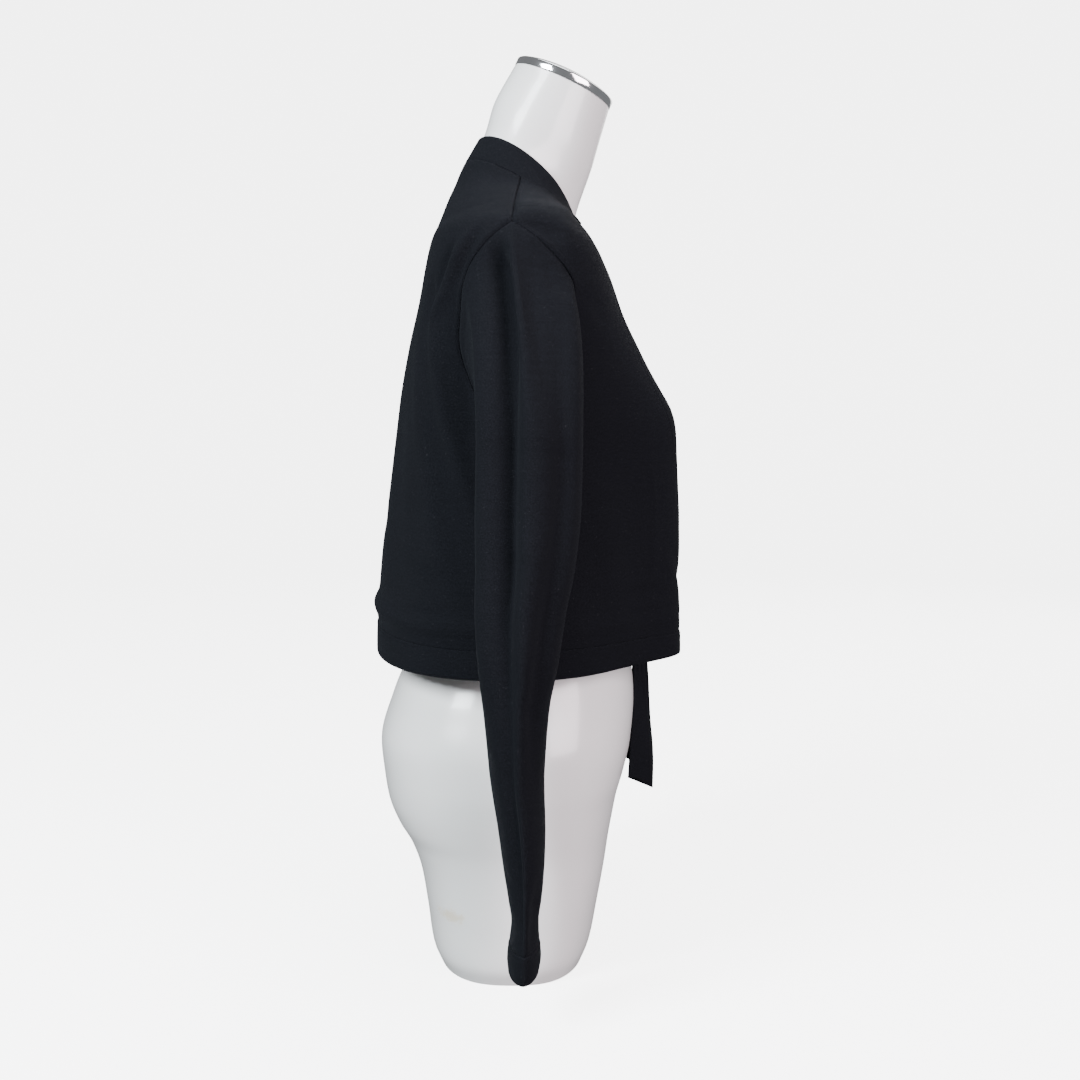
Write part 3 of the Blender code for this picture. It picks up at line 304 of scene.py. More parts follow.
# Knot: a loop of cloth round the two gathered band ends, and the strand of the gathered ends
KNOT_CENTRE = (0.0, -0.1212, 0.2855)
WRAP_HALF_Y = 0.0066
WRAP_HALF_Z = 0.0078
WRAP_WIDTH = 0.0150
WRAP_WALL = 0.0030
WRAP_CROWN = 0.0013
WRAP_PLEAT = 0.00055
WRAP_SWAY = 0.0016
STRAND_END_ALPHA = 10.5
STRAND_END_LEVEL = 0.9785
STRAND_SINK = 0.0013
STRAND_PLEAT = 0.10

# One stitch: length, width and height of the thread that shows, and the pitch of a row
STITCH_LENGTH = 0.0021
STITCH_WIDTH = 0.00042
STITCH_HEIGHT = 0.00034
STITCH_PITCH = 0.0028
STITCH_INSET = 0.0022

# Neck cap: radius against height above the neck's rim, over its crown and round its edge
CAP_CENTRE = (0.0, -0.0450, 0.8140)
CAP_TILT = math.radians(25.0)
CAP_TOP = 0.0160
CAP_DOME_FOOT = 0.0086
CAP_DOME_RADIUS = 0.0487
CAP_CROWN = [(0.0, CAP_TOP), (0.0180, 0.0154), (0.0340, 0.0136), (0.0440, 0.0110), (0.0490, 0.0084)]
CAP_EDGE = [(0.0493, 0.0081), (0.0498, 0.0077), (0.0500, 0.0071), (0.0500, 0.0040),
            (0.0500, 0.0012), (0.0498, 0.0006), (0.0493, 0.0003), (0.0300, 0.0003), (0.0, 0.0003)]

# Camera at the photograph's viewpoint, and a small old scuff on the form
CAMERA_PLACE = (-1.5, -0.024, 0.505)
CAMERA_LENS = 52.08
CAMERA_SHIFT = -0.12037
SCUFF = (-0.14, 0.054, 0.059)

# Studio paper: radius of its flat floor and of its sweep, and the height of its wall
PAPER_FLOOR = 3.4
PAPER_SWEEP = 2.4
PAPER_TOP = 8.0
PAPER_SEGMENTS = 96

# Soft lights: name, place, sides, share of the key light's power, and colour
Lamp = namedtuple("Lamp", "name place size share colour")

LAMPS = [
    Lamp("key_light", (-2.0, 1.75, 1.9), 1.2, 2.75, (0.90, 0.96, 1.0)),
    Lamp("fill_light", (-2.2, -1.9, 1.1), 1.8, 1.65, (1.0, 0.87, 0.92)),
    Lamp("top_light", (0.1, -0.3, 2.9), 1.4, 0.52, (0.96, 0.98, 1.0)),
    Lamp("far_light", (2.2, -1.2, 1.7), 1.8, 0.30, (1.0, 0.98, 0.96)),
]
LAMP_TARGET = (0.0, 0.0, 0.45)
AIR_COLOUR = (0.92, 0.94, 0.97, 1.0)
AIR_STRENGTH = 0.26

# Fine wrinkles in a piece's own flat coordinates, metres. A body piece is measured from the side
# seam, forward positive, and up from the hem; a sleeve from its outer line, forward positive, and
# up from the cuff. bend bows the line sideways; a height over 0 is a ridge, under 0 a trough.
Wrinkle = namedtuple("Wrinkle", "name x0 y0 x1 y1 bend width height")

WRINKLES = {
    "back": [
        Wrinkle("hem_pull_right", -0.200, 0.060, -0.110, 0.052, 0.003, 0.0060, 0.0009),
        Wrinkle("low_pull_right", -0.198, 0.082, -0.120, 0.096, -0.004, 0.0070, -0.0008),
        Wrinkle("side_pull_right", -0.205, 0.150, -0.150, 0.172, 0.004, 0.0070, 0.0007),
        Wrinkle("shoulder_pull_right", -0.150, 0.438, -0.085, 0.405, -0.006, 0.0100, -0.0009),
        Wrinkle("nape_dip", -0.050, 0.455, 0.055, 0.452, -0.010, 0.0140, -0.0010),
        Wrinkle("shoulder_pull_left", 0.155, 0.430, 0.080, 0.400, 0.007, 0.0110, -0.0010),
        Wrinkle("side_pull_left", 0.200, 0.168, 0.140, 0.192, -0.004, 0.0075, 0.0008),
        Wrinkle("hem_pull_left", 0.195, 0.055, 0.120, 0.048, 0.004, 0.0065, 0.0009),
        Wrinkle("low_pull_left", 0.190, 0.104, 0.110, 0.090, 0.005, 0.0080, -0.0008),
        Wrinkle("middle_slack", -0.060, 0.120, 0.050, 0.104, 0.006, 0.0110, -0.0009),
    ],
    "front_right": [
        Wrinkle("shoulder_break", -0.004, 0.416, 0.060, 0.401, 0.008, 0.0240, 0.0041),
        Wrinkle("under_break", 0.000, 0.383, 0.048, 0.375, 0.007, 0.0115, -0.0044),
        Wrinkle("rib_pull", 0.060, 0.148, 0.104, 0.157, 0.002, 0.0035, 0.0006),
        Wrinkle("rib_pull_low", 0.058, 0.140, 0.098, 0.149, 0.001, 0.0035, -0.0005),
        Wrinkle("slack_high", 0.104, 0.071, 0.156, 0.072, 0.001, 0.0035, 0.0006),
        Wrinkle("slack_middle", 0.098, 0.063, 0.154, 0.062, 0.002, 0.0030, -0.0006),
        Wrinkle("slack_low", 0.108, 0.049, 0.160, 0.051, 0.001, 0.0040, 0.0006),
        Wrinkle("slack_side", 0.068, 0.097, 0.110, 0.100, 0.001, 0.0040, -0.0005),
        Wrinkle("edge_line", 0.137, 0.180, 0.144, 0.076, 0.001, 0.0030, 0.0007),
        Wrinkle("armhole_pull", 0.060, 0.330, 0.095, 0.300, 0.004, 0.0080, -0.0012),
    ],
    "front_left": [
        Wrinkle("shoulder_break", -0.002, 0.416, 0.058, 0.402, 0.007, 0.0230, 0.0038),
        Wrinkle("under_break", 0.002, 0.384, 0.046, 0.377, 0.006, 0.0115, -0.0040),
        Wrinkle("rib_pull", 0.052, 0.158, 0.098, 0.164, 0.002, 0.0040, 0.0006),
        Wrinkle("slack_high", 0.096, 0.078, 0.150, 0.074, 0.002, 0.0040, 0.0006),
        Wrinkle("slack_low", 0.112, 0.054, 0.158, 0.056, -0.001, 0.0035, -0.0006),
        Wrinkle("slack_side", 0.060, 0.104, 0.102, 0.108, 0.002, 0.0045, -0.0005),
        Wrinkle("edge_line", 0.134, 0.200, 0.142, 0.098, 0.001, 0.0030, 0.0006),
        Wrinkle("armhole_pull", 0.058, 0.322, 0.090, 0.288, 0.004, 0.0085, -0.0012),
    ],
    "sleeve_right": [
        Wrinkle("cap_dent", 0.036, 0.578, 0.045, 0.550, 0.001, 0.0060, -0.0016),
        Wrinkle("cap_dent_side", 0.050, 0.566, 0.056, 0.546, 0.001, 0.0060, -0.0008),
        Wrinkle("elbow_break", -0.030, 0.318, 0.006, 0.300, 0.003, 0.0075, -0.0010),
        Wrinkle("forearm_break", 0.004, 0.205, 0.034, 0.186, -0.003, 0.0065, -0.0010),
        Wrinkle("forearm_back", -0.040, 0.170, -0.012, 0.150, 0.003, 0.0065, 0.0008),
        Wrinkle("wrist_back", -0.034, 0.062, -0.008, 0.050, 0.002, 0.0050, -0.0010),
        Wrinkle("wrist_front", 0.006, 0.040, 0.030, 0.030, 0.002, 0.0045, -0.0010),
        Wrinkle("inner_elbow_high", 0.085, 0.330, 0.120, 0.345, 0.003, 0.0070, -0.0014),
        Wrinkle("inner_elbow_low", 0.080, 0.290, 0.118, 0.300, 0.003, 0.0070, -0.0012),
    ],
    "sleeve_left": [
        Wrinkle("cap_dent", 0.022, 0.572, 0.034, 0.540, -0.001, 0.0060, -0.0014),
        Wrinkle("elbow_break", -0.028, 0.330, 0.010, 0.308, 0.003, 0.0080, -0.0011),
        Wrinkle("forearm_break", 0.000, 0.222, 0.030, 0.200, -0.003, 0.0070, -0.0010),
        Wrinkle("forearm_back", -0.042, 0.150, -0.014, 0.132, 0.003, 0.0060, 0.0008),
        Wrinkle("wrist_back", -0.032, 0.070, -0.006, 0.056, 0.002, 0.0050, -0.0010),
        Wrinkle("wrist_front", 0.008, 0.046, 0.032, 0.034, 0.002, 0.0050, -0.0010),
        Wrinkle("inner_elbow_high", 0.082, 0.318, 0.118, 0.334, 0.003, 0.0070, -0.0014),
        Wrinkle("inner_elbow_low", 0.084, 0.276, 0.120, 0.284, 0.003, 0.0075, -0.0012),
    ],
}

# Fineness of the cloth's grids
PANEL_SPLIT = 6
FRONT_ACROSS = 64
BACK_ACROSS = 150
SLEEVE_AROUND = 144
SLEEVE_CAP_ROWS = 70
SLEEVE_LOW_ROWS = 150
HEM_ACROSS = 110
EDGE_STRIPS = (0.0010, 0.0024, 0.0044)

# The neck band is measured across its edge in a few steps, and level with the hem low down, from
# one share of the cloth's length and wholly a little farther on
WALK_STEPS = 7
BAND_LEVEL_FROM = 0.84
BAND_LEVEL_OVER = 0.09

# The cloth's lengths are read from a table with this many rows, and a column for each degree
FLAT_ROWS = 120
FLAT_DEGREES = 180

# Share of half the back's width that is taken by the neck, the rest by the shoulder
NECK_SHARE = 8.0 / 14.0

# The edge of a panel sinks into its seam and rises over the turnings beside it; wrinkles begin
# clear of it
SEAM_SINK = 0.0005
SEAM_ROLL = 0.0020
SEAM_RIDGE = 0.00030
RIDGE_AT = 0.0045
RIDGE_WIDTH = 0.0022
WRINKLE_CLEAR = 0.008

# Shares of that relief at the neck band, the hem, the shoulder and the cuff
BAND_RELIEF = 0.04
HEM_RELIEF = 0.25
SHOULDER_RELIEF = 1.60
CUFF_RELIEF = 0.6

# Height of a band's face over the panels' cloth, and its fullness
BAND_RAISE = 0.0006
BAND_FULL = 0.0003
NECK_RAISE = 0.0001
NECK_FULL = 0.0001

# Seam allowances: under the panel beside a band, under the body round a sleeve, to each side of a
# shoulder or side seam, and how deep they lie
BAND_TONGUE = 0.0022
ARM_TONGUE = 0.0036
TAPE_HALF = 0.0036
TONGUE_DEPTH = 0.0018


def hermite(f, start, leave, end, arrive):
    """Smooth run from start to end, with its directions at both."""
    value = start * (2 * f ** 3 - 3 * f ** 2 + 1) + leave * (f ** 3 - 2 * f ** 2 + f)
    return value + end * (3 * f ** 2 - 2 * f ** 3) + arrive * (f ** 3 - f ** 2)


class Track:
    """Smooth interpolation without overshoot down a table whose second column is the key."""

    def __init__(self, rows):
        ordered = sorted(rows, key=lambda row: row[1])
        self.kind = type(ordered[0])
        table = np.array([row[1:] for row in ordered], dtype=float)
        self.keys = table[:, 0]
        self.values = table[:, 1:]
        step = np.diff(self.keys)[:, None]
        rise = np.diff(self.values, axis=0) / step
        self.slopes = np.zeros_like(self.values)
        self.slopes[0] = rise[0]
        self.slopes[-1] = rise[-1]
        before = rise[:-1]
        after = rise[1:]
        same = before * after > 0.0
        near = 2.0 * step[1:] + step[:-1]
        far = step[1:] + 2.0 * step[:-1]
        safe_before = np.where(same, before, 1.0)
        safe_after = np.where(same, after, 1.0)
        mean = (near + far) / (near / safe_before + far / safe_after)
        self.slopes[1:-1] = np.where(same, mean, 0.0)

    def at(self, key):
        """A row of the table's kind, with arrays read at the keys."""
        key = np.clip(np.asarray(key, dtype=float), self.keys[0], self.keys[-1])
        low = np.searchsorted(self.keys, key, side="right") - 1
        low = np.clip(low, 0, len(self.keys) - 2)
        width = (self.keys[low + 1] - self.keys[low])[..., None]
        f = (key - self.keys[low])[..., None] / width
        leave = self.slopes[low] * width
        arrive = self.slopes[low + 1] * width
        value = hermite(f, self.values[low], leave, self.values[low + 1], arrive)
        return self.kind("", key, *np.moveaxis(value, -1, 0))


# A skin is the rings of a body's surface and its two mounds
Skin = namedtuple("Skin", "rings mounds")

CLOTH = Skin(Track(CLOTH_RINGS), Track(CLOTH_MOUNDS))
FORM = Skin(Track(FORM_RINGS), Track(FORM_MOUNDS))
EDGE = Track(NECK_EDGE)
ARM = Track(ARMHOLE)
SLEEVE = Track(SLEEVE_SECTIONS)
TIE = Track(TIE_STRIP)


def smooth(value):
    """0 below 0, 1 above 1, eased between."""
    value = np.clip(value, 0.0, 1.0)
    return value * value * (3.0 - 2.0 * value)


def length_of(vectors):
    """Lengths of the vectors along a grid's last axis."""
    return np.linalg.norm(vectors, axis=-1)


def unit(vectors):
    """Vectors made one long."""
    return vectors / np.maximum(length_of(vectors), 1e-12)[..., None]


def dot(first, second):
    """Dot products along a grid's last axis."""
    return np.sum(first * second, axis=-1)


def bell(offset):
    """1 at no offset, falling softly to both sides."""
    return np.exp(-offset * offset)


def fade(f, past, top, foot):
    """1 along a fold, easing to 0 a little past its ends at 0 and 1."""
    return smooth((f + past) / top) * smooth((1.0 + past - f) / foot)


def joined(points, axis):
    """A grid with its first row or column again at its end."""
    return np.concatenate([points, np.take(points, [0], axis=axis)], axis=axis)


def travelled(points, axis=0):
    """Distance of each point from the first of its line along an axis of a grid."""
    run = np.cumsum(length_of(np.diff(points, axis=axis)), axis=axis)
    return np.concatenate([np.zeros_like(np.take(run, [0], axis=axis)), run], axis=axis)


def ring_point(skin, side, alpha, v):
    """Points of a skin: side is -1 or 1, alpha in degrees from the front centre."""
    ring = skin.rings.at(v)
    cosine = np.cos(np.radians(alpha))
    sine = np.sin(np.radians(alpha))
    depth = np.where(cosine > 0.0, ring.centre_y - ring.front_y, ring.back_y - ring.centre_y)
    across = (np.abs(sine) / ring.side_x) ** ring.power
    along = (np.abs(cosine) / depth) ** ring.power
    reach = (across + along) ** (-1.0 / ring.power)
    x = side * reach * sine
    y = ring.centre_y - reach * cosine
    lean = (ring.front_z - ring.back_z) / 2.0
    lean = lean * cosine * (ring.tilt + (1.0 - ring.tilt) * np.abs(cosine))
    sag = ((ring.front_z + ring.back_z) / 2.0 - ring.side_z) * cosine ** 2
    z = ring.side_z + lean + sag
    spread = bell((np.abs(x) - MOUND_X) / MOUND_WIDTH)
    full = skin.mounds.at(z).height * spread * smooth(cosine * 4.0)
    return np.stack([x, y - np.where(cosine > 0.0, full, 0.0), z], axis=-1)


def surface_frame(skin, side, alpha, v):
    """Points, steps per degree, steps per unit of v, and outward normals."""
    turn = 0.5
    drop = 0.004
    first, last = skin.rings.keys[0], skin.rings.keys[-1]
    inside = np.clip(v, first, last)
    low = np.maximum(inside - drop, first)
    high = np.minimum(inside + drop, last)
    point = ring_point(skin, side, alpha, v)
    ahead = ring_point(skin, side, alpha + turn, v)
    behind = ring_point(skin, side, alpha - turn, v)
    below = ring_point(skin, side, alpha, high)
    above = ring_point(skin, side, alpha, low)
    per_degree = (ahead - behind) / (2.0 * turn)
    per_v = (below - above) / (high - low)[..., None]
    normal = unit(np.cross(per_v, per_degree)) * np.asarray(side, dtype=float)[..., None]
    return point, per_degree, per_v, normal


def fold_height(side, alpha, point):
    """Sum of the body folds."""
    total = np.zeros(alpha.shape)
    radius = np.hypot(point[..., 0], point[..., 1])
    for fold in BODY_FOLDS:
        f = (fold.z_top - point[..., 2]) / (fold.z_top - fold.z_low)
        straight = fold.a_top + (fold.a_low - fold.a_top) * f
        bend = fold.a_middle - (fold.a_top + fold.a_low) / 2.0
        line = straight + bend * 4.0 * f * (1.0 - f)
        off = np.radians(alpha - line) * radius / fold.width
        height = fold.height * bell(off) * fade(f, 0.25, 0.5, 0.5)
        total += np.where(side == fold.side, height, 0.0)
    return total


def cloth_point(side, alpha, v, out=0.0, blouse=0.0):
    """Outer face of the body cloth, moved out along its normal."""
    side, alpha, v, out, blouse = np.broadcast_arrays(side, alpha, v, out, blouse)
    round_back = alpha > 180.0
    side = np.where(round_back, -side, side)
    alpha = np.where(round_back, 360.0 - alpha, alpha)
    point, _, _, normal = surface_frame(CLOTH, side, alpha, v)
    rear = smooth((alpha - 60.0) / 110.0)
    bump = bell((v - BLOUSE_AT) / BLOUSE_WIDTH)
    height = out + fold_height(side, alpha, point)
    height = height + blouse * bump * (BLOUSE_FRONT + (BLOUSE_BACK - BLOUSE_FRONT) * rear)
    return point + normal * height[..., None]


def walk(side, alpha, v, direction, distance):
    """Surface coordinates reached by going a distance along the cloth in one direction."""
    for _ in range(WALK_STEPS):
        _, per_degree, per_v, _ = surface_frame(CLOTH, side, alpha, v)
        a = dot(per_degree, per_degree)
        b = dot(per_degree, per_v)
        c = dot(per_v, per_v)
        p = dot(per_degree, direction) * distance / WALK_STEPS
        q = dot(per_v, direction) * distance / WALK_STEPS
        alpha = alpha + (c * p - b * q) / (a * c - b * b)
        v = v + (a * q - b * p) / (a * c - b * b)
    return alpha, v


def band_place(side, t, distance):
    """Places in the neck band, a distance from its free edge, in surface coordinates."""
    side, t, distance = np.broadcast_arrays(side, np.asarray(t, dtype=float), distance)
    step = 0.004
    edge = EDGE.at(t)
    ahead = EDGE.at(np.minimum(t + step, 1.0))
    behind = EDGE.at(np.maximum(t - step, 0.0))
    tip = ring_point(CLOTH, side, ahead.alpha, ahead.v)
    tail = ring_point(CLOTH, side, behind.alpha, behind.v)
    _, per_degree, _, normal = surface_frame(CLOTH, side, edge.alpha, edge.v)
    across = unit(np.cross(normal, tip - tail)) * side[..., None]
    alpha, v = walk(side, edge.alpha, edge.v, across, distance)
    level_alpha = edge.alpha + distance / length_of(per_degree)
    level = smooth((edge.v - BAND_LEVEL_FROM) / BAND_LEVEL_OVER)
    return alpha + (level_alpha - alpha) * level, v + (edge.v - v) * level


def seam_place(side, t):
    """Edge of a panel beside the neck band, in surface coordinates."""
    return band_place(side, t, BAND_WIDTH + BAND_SEAM * SEAM_GAP)


def seam_half_gap(side, alpha, v):
    """Half a seam's gap as degrees round the ring."""
    side, alpha, v = np.broadcast_arrays(side, alpha, v)
    _, per_degree, _, _ = surface_frame(CLOTH, side, alpha, v)
    return PANEL_SEAM * SEAM_GAP / length_of(per_degree)


def key_where(reached, low, high):
    """Key of the neck edge at which a condition first holds."""
    for _ in range(30):
        middle = (low + high) / 2.0
        if reached(middle):
            high = middle
        else:
            low = middle
    return (low + high) / 2.0


T_SHOULDER = key_where(lambda t: float(seam_place(1, t)[0]) <= 90.0, 0.2, 0.4)
T_HEM_SEAM = key_where(lambda t: float(EDGE.at(t).v) >= HEM_TOP, 0.5, 1.0)


def flat_tables():
    """Cloth lengths on one side of the body, from the side seam round each ring and up from the
    hem."""
    levels = np.linspace(0.0, 1.0, FLAT_ROWS + 1)
    turns = np.arange(FLAT_DEGREES + 1.0)
    grid = ring_point(CLOTH, 1.0, turns[None, :], levels[:, None])
    around = travelled(grid, 1)
    down = travelled(grid)
    return around[:, FLAT_DEGREES // 2][:, None] - around, down[-1][None, :] - down


FLAT_AROUND, FLAT_UP = flat_tables()


def flat_place(side, alpha, v):
    """Flat coordinates of the body cloth: distance forward of the side seam and height over the
    hem."""
    side, alpha, v = np.broadcast_arrays(side, alpha, v)
    alpha = np.where(alpha > 180.0, 360.0 - alpha, alpha)
    row = np.clip(v, 0.0, 1.0) * FLAT_ROWS
    column = np.clip(alpha, 0.0, FLAT_DEGREES)
    i = np.clip(row.astype(int), 0, FLAT_ROWS - 1)
    j = np.clip(column.astype(int), 0, FLAT_DEGREES - 1)
    a = row - i
    b = column - j

    def read(table):
        top = table[i, j] * (1 - b) + table[i, j + 1] * b
        low = table[i + 1, j] * (1 - b) + table[i + 1, j + 1] * b
        return top * (1 - a) + low * a

    return np.stack([read(FLAT_AROUND), read(FLAT_UP)], axis=-1)


def wrinkle_height(name, flat):
    """Sum of a piece's fine wrinkles at flat places."""
    total = np.zeros(flat.shape[:-1])
    for fold in WRINKLES[name]:
        start = np.array([fold.x0, fold.y0])
        run = np.array([fold.x1 - fold.x0, fold.y1 - fold.y0])
        size = float(np.hypot(*run))
        along = dot(flat - start, run) / size ** 2
        aside = dot(flat - start, np.array([-run[1], run[0]]) / size)
        aside = aside - fold.bend * 4.0 * along * (1.0 - along)
        total += fold.height * bell(aside / fold.width) * fade(along, 0.15, 0.45, 0.45)
    return total


def spread_shares(count, size):
    """Shares of a span of some size: even ones, with close strips along both ends."""
    strips = np.array(EDGE_STRIPS) / size
    even = np.linspace(0.0, 1.0, count + 1)
    inner = even[(even > strips[-1] * 1.5) & (even < 1.0 - strips[-1] * 1.5)]
    return np.concatenate([[0.0], strips, inner, 1.0 - strips[::-1], [1.0]])


def row_marks():
    """Positions down the panel tables, PANEL_SPLIT to a row, with close strips at both ends."""
    count = len(panel_levels()) - 1
    marks = np.linspace(0, count, count * PANEL_SPLIT + 1)
    inner = marks[(marks > 0.30) & (marks < count - 0.55)]
    top = np.array([0.0, 0.05, 0.12, 0.22])
    foot = count - np.array([0.44, 0.24, 0.10, 0.0])
    return np.concatenate([top, inner, foot])


def panel_levels():
    """Levels down the armhole and the side seam at whole rows."""
    arm = np.linspace(ARMHOLE_TOP, ARMHOLE_FOOT, 13)
    return np.concatenate([arm, SIDE_SEAM_LEVELS])


def panel_keys():
    """Keys of the neck edge at whole rows."""
    return np.array([T_SHOULDER] + FRONT_SEAM_KEYS + [T_HEM_SEAM])


def at_marks(values):
    """A panel's table read at all of its rows."""
    return np.interp(row_marks(), np.arange(len(values)), values)


def outer_edge(side, front):
    """Armhole and side seam of a panel from the shoulder tip down to the hem seam."""
    v = at_marks(panel_levels())
    half = seam_half_gap(side, 90.0, v)
    arm = ARM.at(v)
    hollow = np.where(v >= ARMHOLE_FOOT, 90.0, arm.front_alpha if front else arm.back_alpha)
    alpha = np.minimum(90.0 - half, hollow) if front else np.maximum(90.0 + half, hollow)
    return np.stack([alpha, v], axis=-1)


def coons(top, foot, left, right, across, down):
    """Fill four boundary curves given in surface coordinates, at their shares."""
    s = across[None, :, None]
    t = down[:, None, None]
    ruled = (1 - t) * top[None] + t * foot[None] + (1 - s) * left[:, None] + s * right[:, None]
    corners = (1 - s) * (1 - t) * top[0] + s * (1 - t) * top[-1]
    corners = corners + (1 - s) * t * foot[0] + s * t * foot[-1]
    return ruled - corners


def panel_places(top, left, right, across):
    """A panel in surface coordinates: curved rows down to the underarm, level ones below it."""
    arm_rows = int(np.searchsorted(right[:, 1], ARMHOLE_FOOT - 1e-9)) + 1
    down = (right[:arm_rows, 1] - ARMHOLE_TOP) / (ARMHOLE_FOOT - ARMHOLE_TOP)
    low = left[arm_rows - 1:, None] * (1 - across[None, :, None])
    low = low + right[arm_rows - 1:, None] * across[None, :, None]
    high = coons(top, low[0], left[:arm_rows], right[:arm_rows], across, down)
    return np.concatenate([high[:-1], low])


def front_places(side):
    """Surface coordinates of a front panel, rows down from the shoulder, neck seam to side seam."""
    right = outer_edge(side, True)
    keys = at_marks(panel_keys())
    left = np.stack(seam_place(side, keys), axis=-1)
    left[0, 0] = 90.0 - float(seam_half_gap(side, 90.0, left[0, 1]))
    across = spread_shares(FRONT_ACROSS, 0.15)
    v = left[0, 1] + (ARMHOLE_TOP - left[0, 1]) * across
    top = np.stack([90.0 - seam_half_gap(side, 90.0, v), v], axis=-1)
    return panel_places(top, left, right, across)


def back_places(side):
    """Surface coordinates of half the back panel, rows from the neck seam, centre to side seam."""
    neck = np.linspace(0.0, 1.0, BACK_ACROSS // 4 + 1)
    tip = spread_shares(BACK_ACROSS // 4, 0.10)[1:]
    right = outer_edge(side, False)
    alpha, v = seam_place(side, T_SHOULDER * neck)
    alpha[0] = 180.0
    start = v[-1]
    alpha[-1] = 90.0 + float(seam_half_gap(side, 90.0, start))
    v_tip = start + (ARMHOLE_TOP - start) * tip
    alpha_tip = 90.0 + seam_half_gap(side, 90.0, v_tip)
    top = np.stack([np.concatenate([alpha, alpha_tip]), np.concatenate([v, v_tip])], axis=-1)
    across = np.concatenate([NECK_SHARE * neck, NECK_SHARE + (1.0 - NECK_SHARE) * tip])
    share = (right[:, 1] - ARMHOLE_TOP) / (ARMHOLE_FOOT - ARMHOLE_TOP)
    share = np.minimum(share, 1.0)
    left_v = right[:, 1] - (ARMHOLE_TOP - top[0, 1]) * (1.0 - share)
    left = np.stack([np.full(left_v.shape, 180.0), left_v], axis=-1)
    return panel_places(top, left, right, across)


def edge_distance(points):
    """Distance of each grid point from the nearest edge of its panel, along rows and columns."""
    row = travelled(points, 1)
    column = travelled(points)
    return np.minimum.reduce([column, column[-1] - column, row[:, -1:] - row, row])


def armhole_place(theta):
    """Surface coordinates of the armhole at sleeve angles."""
    theta = np.mod(theta, 360.0)
    front = theta <= 180.0
    share = np.where(front, theta, 360.0 - theta) / 180.0
    v = ARMHOLE_TOP + (ARMHOLE_FOOT - ARMHOLE_TOP) * share
    arm = ARM.at(v)
    return np.where(front, arm.front_alpha, arm.back_alpha), v


def sleeve_section(side, theta, z):
    """Points of the sleeve's sections below its cap."""
    row = SLEEVE.at(z)
    cosine = np.cos(np.radians(theta))
    sine = np.sin(np.radians(theta))
    x = np.sign(cosine) * np.abs(cosine) ** (2.0 / row.power) * row.half_x
    y = np.sign(sine) * np.abs(sine) ** (2.0 / row.power) * row.half_y
    x, y, z = np.broadcast_arrays(side * (row.centre_x + x), row.centre_y - y, z)
    return np.stack([x, y, z], axis=-1)


def armhole_frame(side, theta):
    """Points of the armhole, the directions out of the body and the directions into the armhole."""
    alpha, v = armhole_place(theta)
    point = cloth_point(side, alpha, v)
    sides = np.full(alpha.shape, side)
    _, _, _, normal = surface_frame(CLOTH, sides, alpha, v)
    before = cloth_point(side, *armhole_place(theta - CAP_TURN))
    after = cloth_point(side, *armhole_place(theta + CAP_TURN))
    inward = unit(np.cross(normal, after - before))
    middle = np.array([side * ARMHOLE_MIDDLE[0], ARMHOLE_MIDDLE[1], ARMHOLE_MIDDLE[2]])
    inward = inward * np.where(dot(inward, middle - point) < 0.0, -1.0, 1.0)[..., None]
    return point, normal, inward


def sleeve_tongue(side, theta):
    """Two rows of the sleeve's seam allowance, which lies under the body cloth."""
    point, normal, inward = armhole_frame(side, theta)
    under = point + inward * SEAM_GAP - normal * TONGUE_DEPTH
    return np.stack([under - inward * ARM_TONGUE, under])


def sleeve_start(side, theta):
    """First points of the sleeve, a seam's gap inside the armhole, and their directions."""
    point, normal, inward = armhole_frame(side, theta)
    out = np.maximum(0.0, np.cos(np.radians(theta))) ** 1.5
    rear = BACK_TUCK * np.maximum(0.0, -np.sin(np.radians(theta)))
    over = (np.minimum((out ** 4 + rear ** 4) ** 0.25, 1.0))[..., None]
    return point + inward * SEAM_GAP, unit(normal * (1.0 - over) + inward * over)


def sleeve_base(side, theta, u):
    """u runs 0 to 1 over the cap and 1 to 2 down to the cuff's foot; both are grids."""
    start, leave = sleeve_start(side, theta)
    end = sleeve_section(side, theta, ARM_HEAD_Z)
    span = length_of(end - start)[..., None]
    f = np.clip(u, 0.0, 1.0)[..., None]
    arrive = np.array([0.0, 0.0, -CAP_ARRIVE_PULL]) * span
    cap = hermite(f, start, leave * span * CAP_LEAVE_PULL, end, arrive)
    z = ARM_HEAD_Z + (CUFF_FOOT_Z - ARM_HEAD_Z) * (np.maximum(u, 1.0) - 1.0)
    return np.where((u >= 1.0)[..., None], sleeve_section(side, theta, z), cap)


def crease_height(side, theta, z, per_degree):
    """Sum of the sleeve's long folds; per_degree is the cloth's length round it for a degree."""
    total = np.zeros(z.shape)
    for crease in SLEEVE_CREASES:
        if crease.side != side:
            continue
        f = (crease.z_top - z) / (crease.z_top - crease.z_low)
        line = crease.t_top + (crease.t_low - crease.t_top) * f
        off = (np.mod(theta - line + 180.0, 360.0) - 180.0) * per_degree / crease.width
        off = np.where(off > 0.0, off / crease.front, off)
        total += crease.height * bell(off) * fade(f, 0.15, 0.45, 0.40)
    return total


def sleeve_point(side, theta, u, out=0.0):
    """Outer face of the sleeve, moved out along its normal."""
    theta, u, out = np.broadcast_arrays(theta, u, out)
    point = sleeve_base(side, theta, u)
    turn = sleeve_base(side, theta + 2.0, u) - sleeve_base(side, theta - 2.0, u)
    low = sleeve_base(side, theta, np.minimum(u + 0.01, 2.0))
    fall = low - sleeve_base(side, theta, np.maximum(u - 0.01, 0.0))
    normal = side * unit(np.cross(turn, fall))
    fold = crease_height(side, theta, point[..., 2], np.maximum(length_of(turn) / 4.0, 0.0005))
    height = out + fold * smooth((u - 0.004) / 0.20)
    return point + normal * height[..., None]


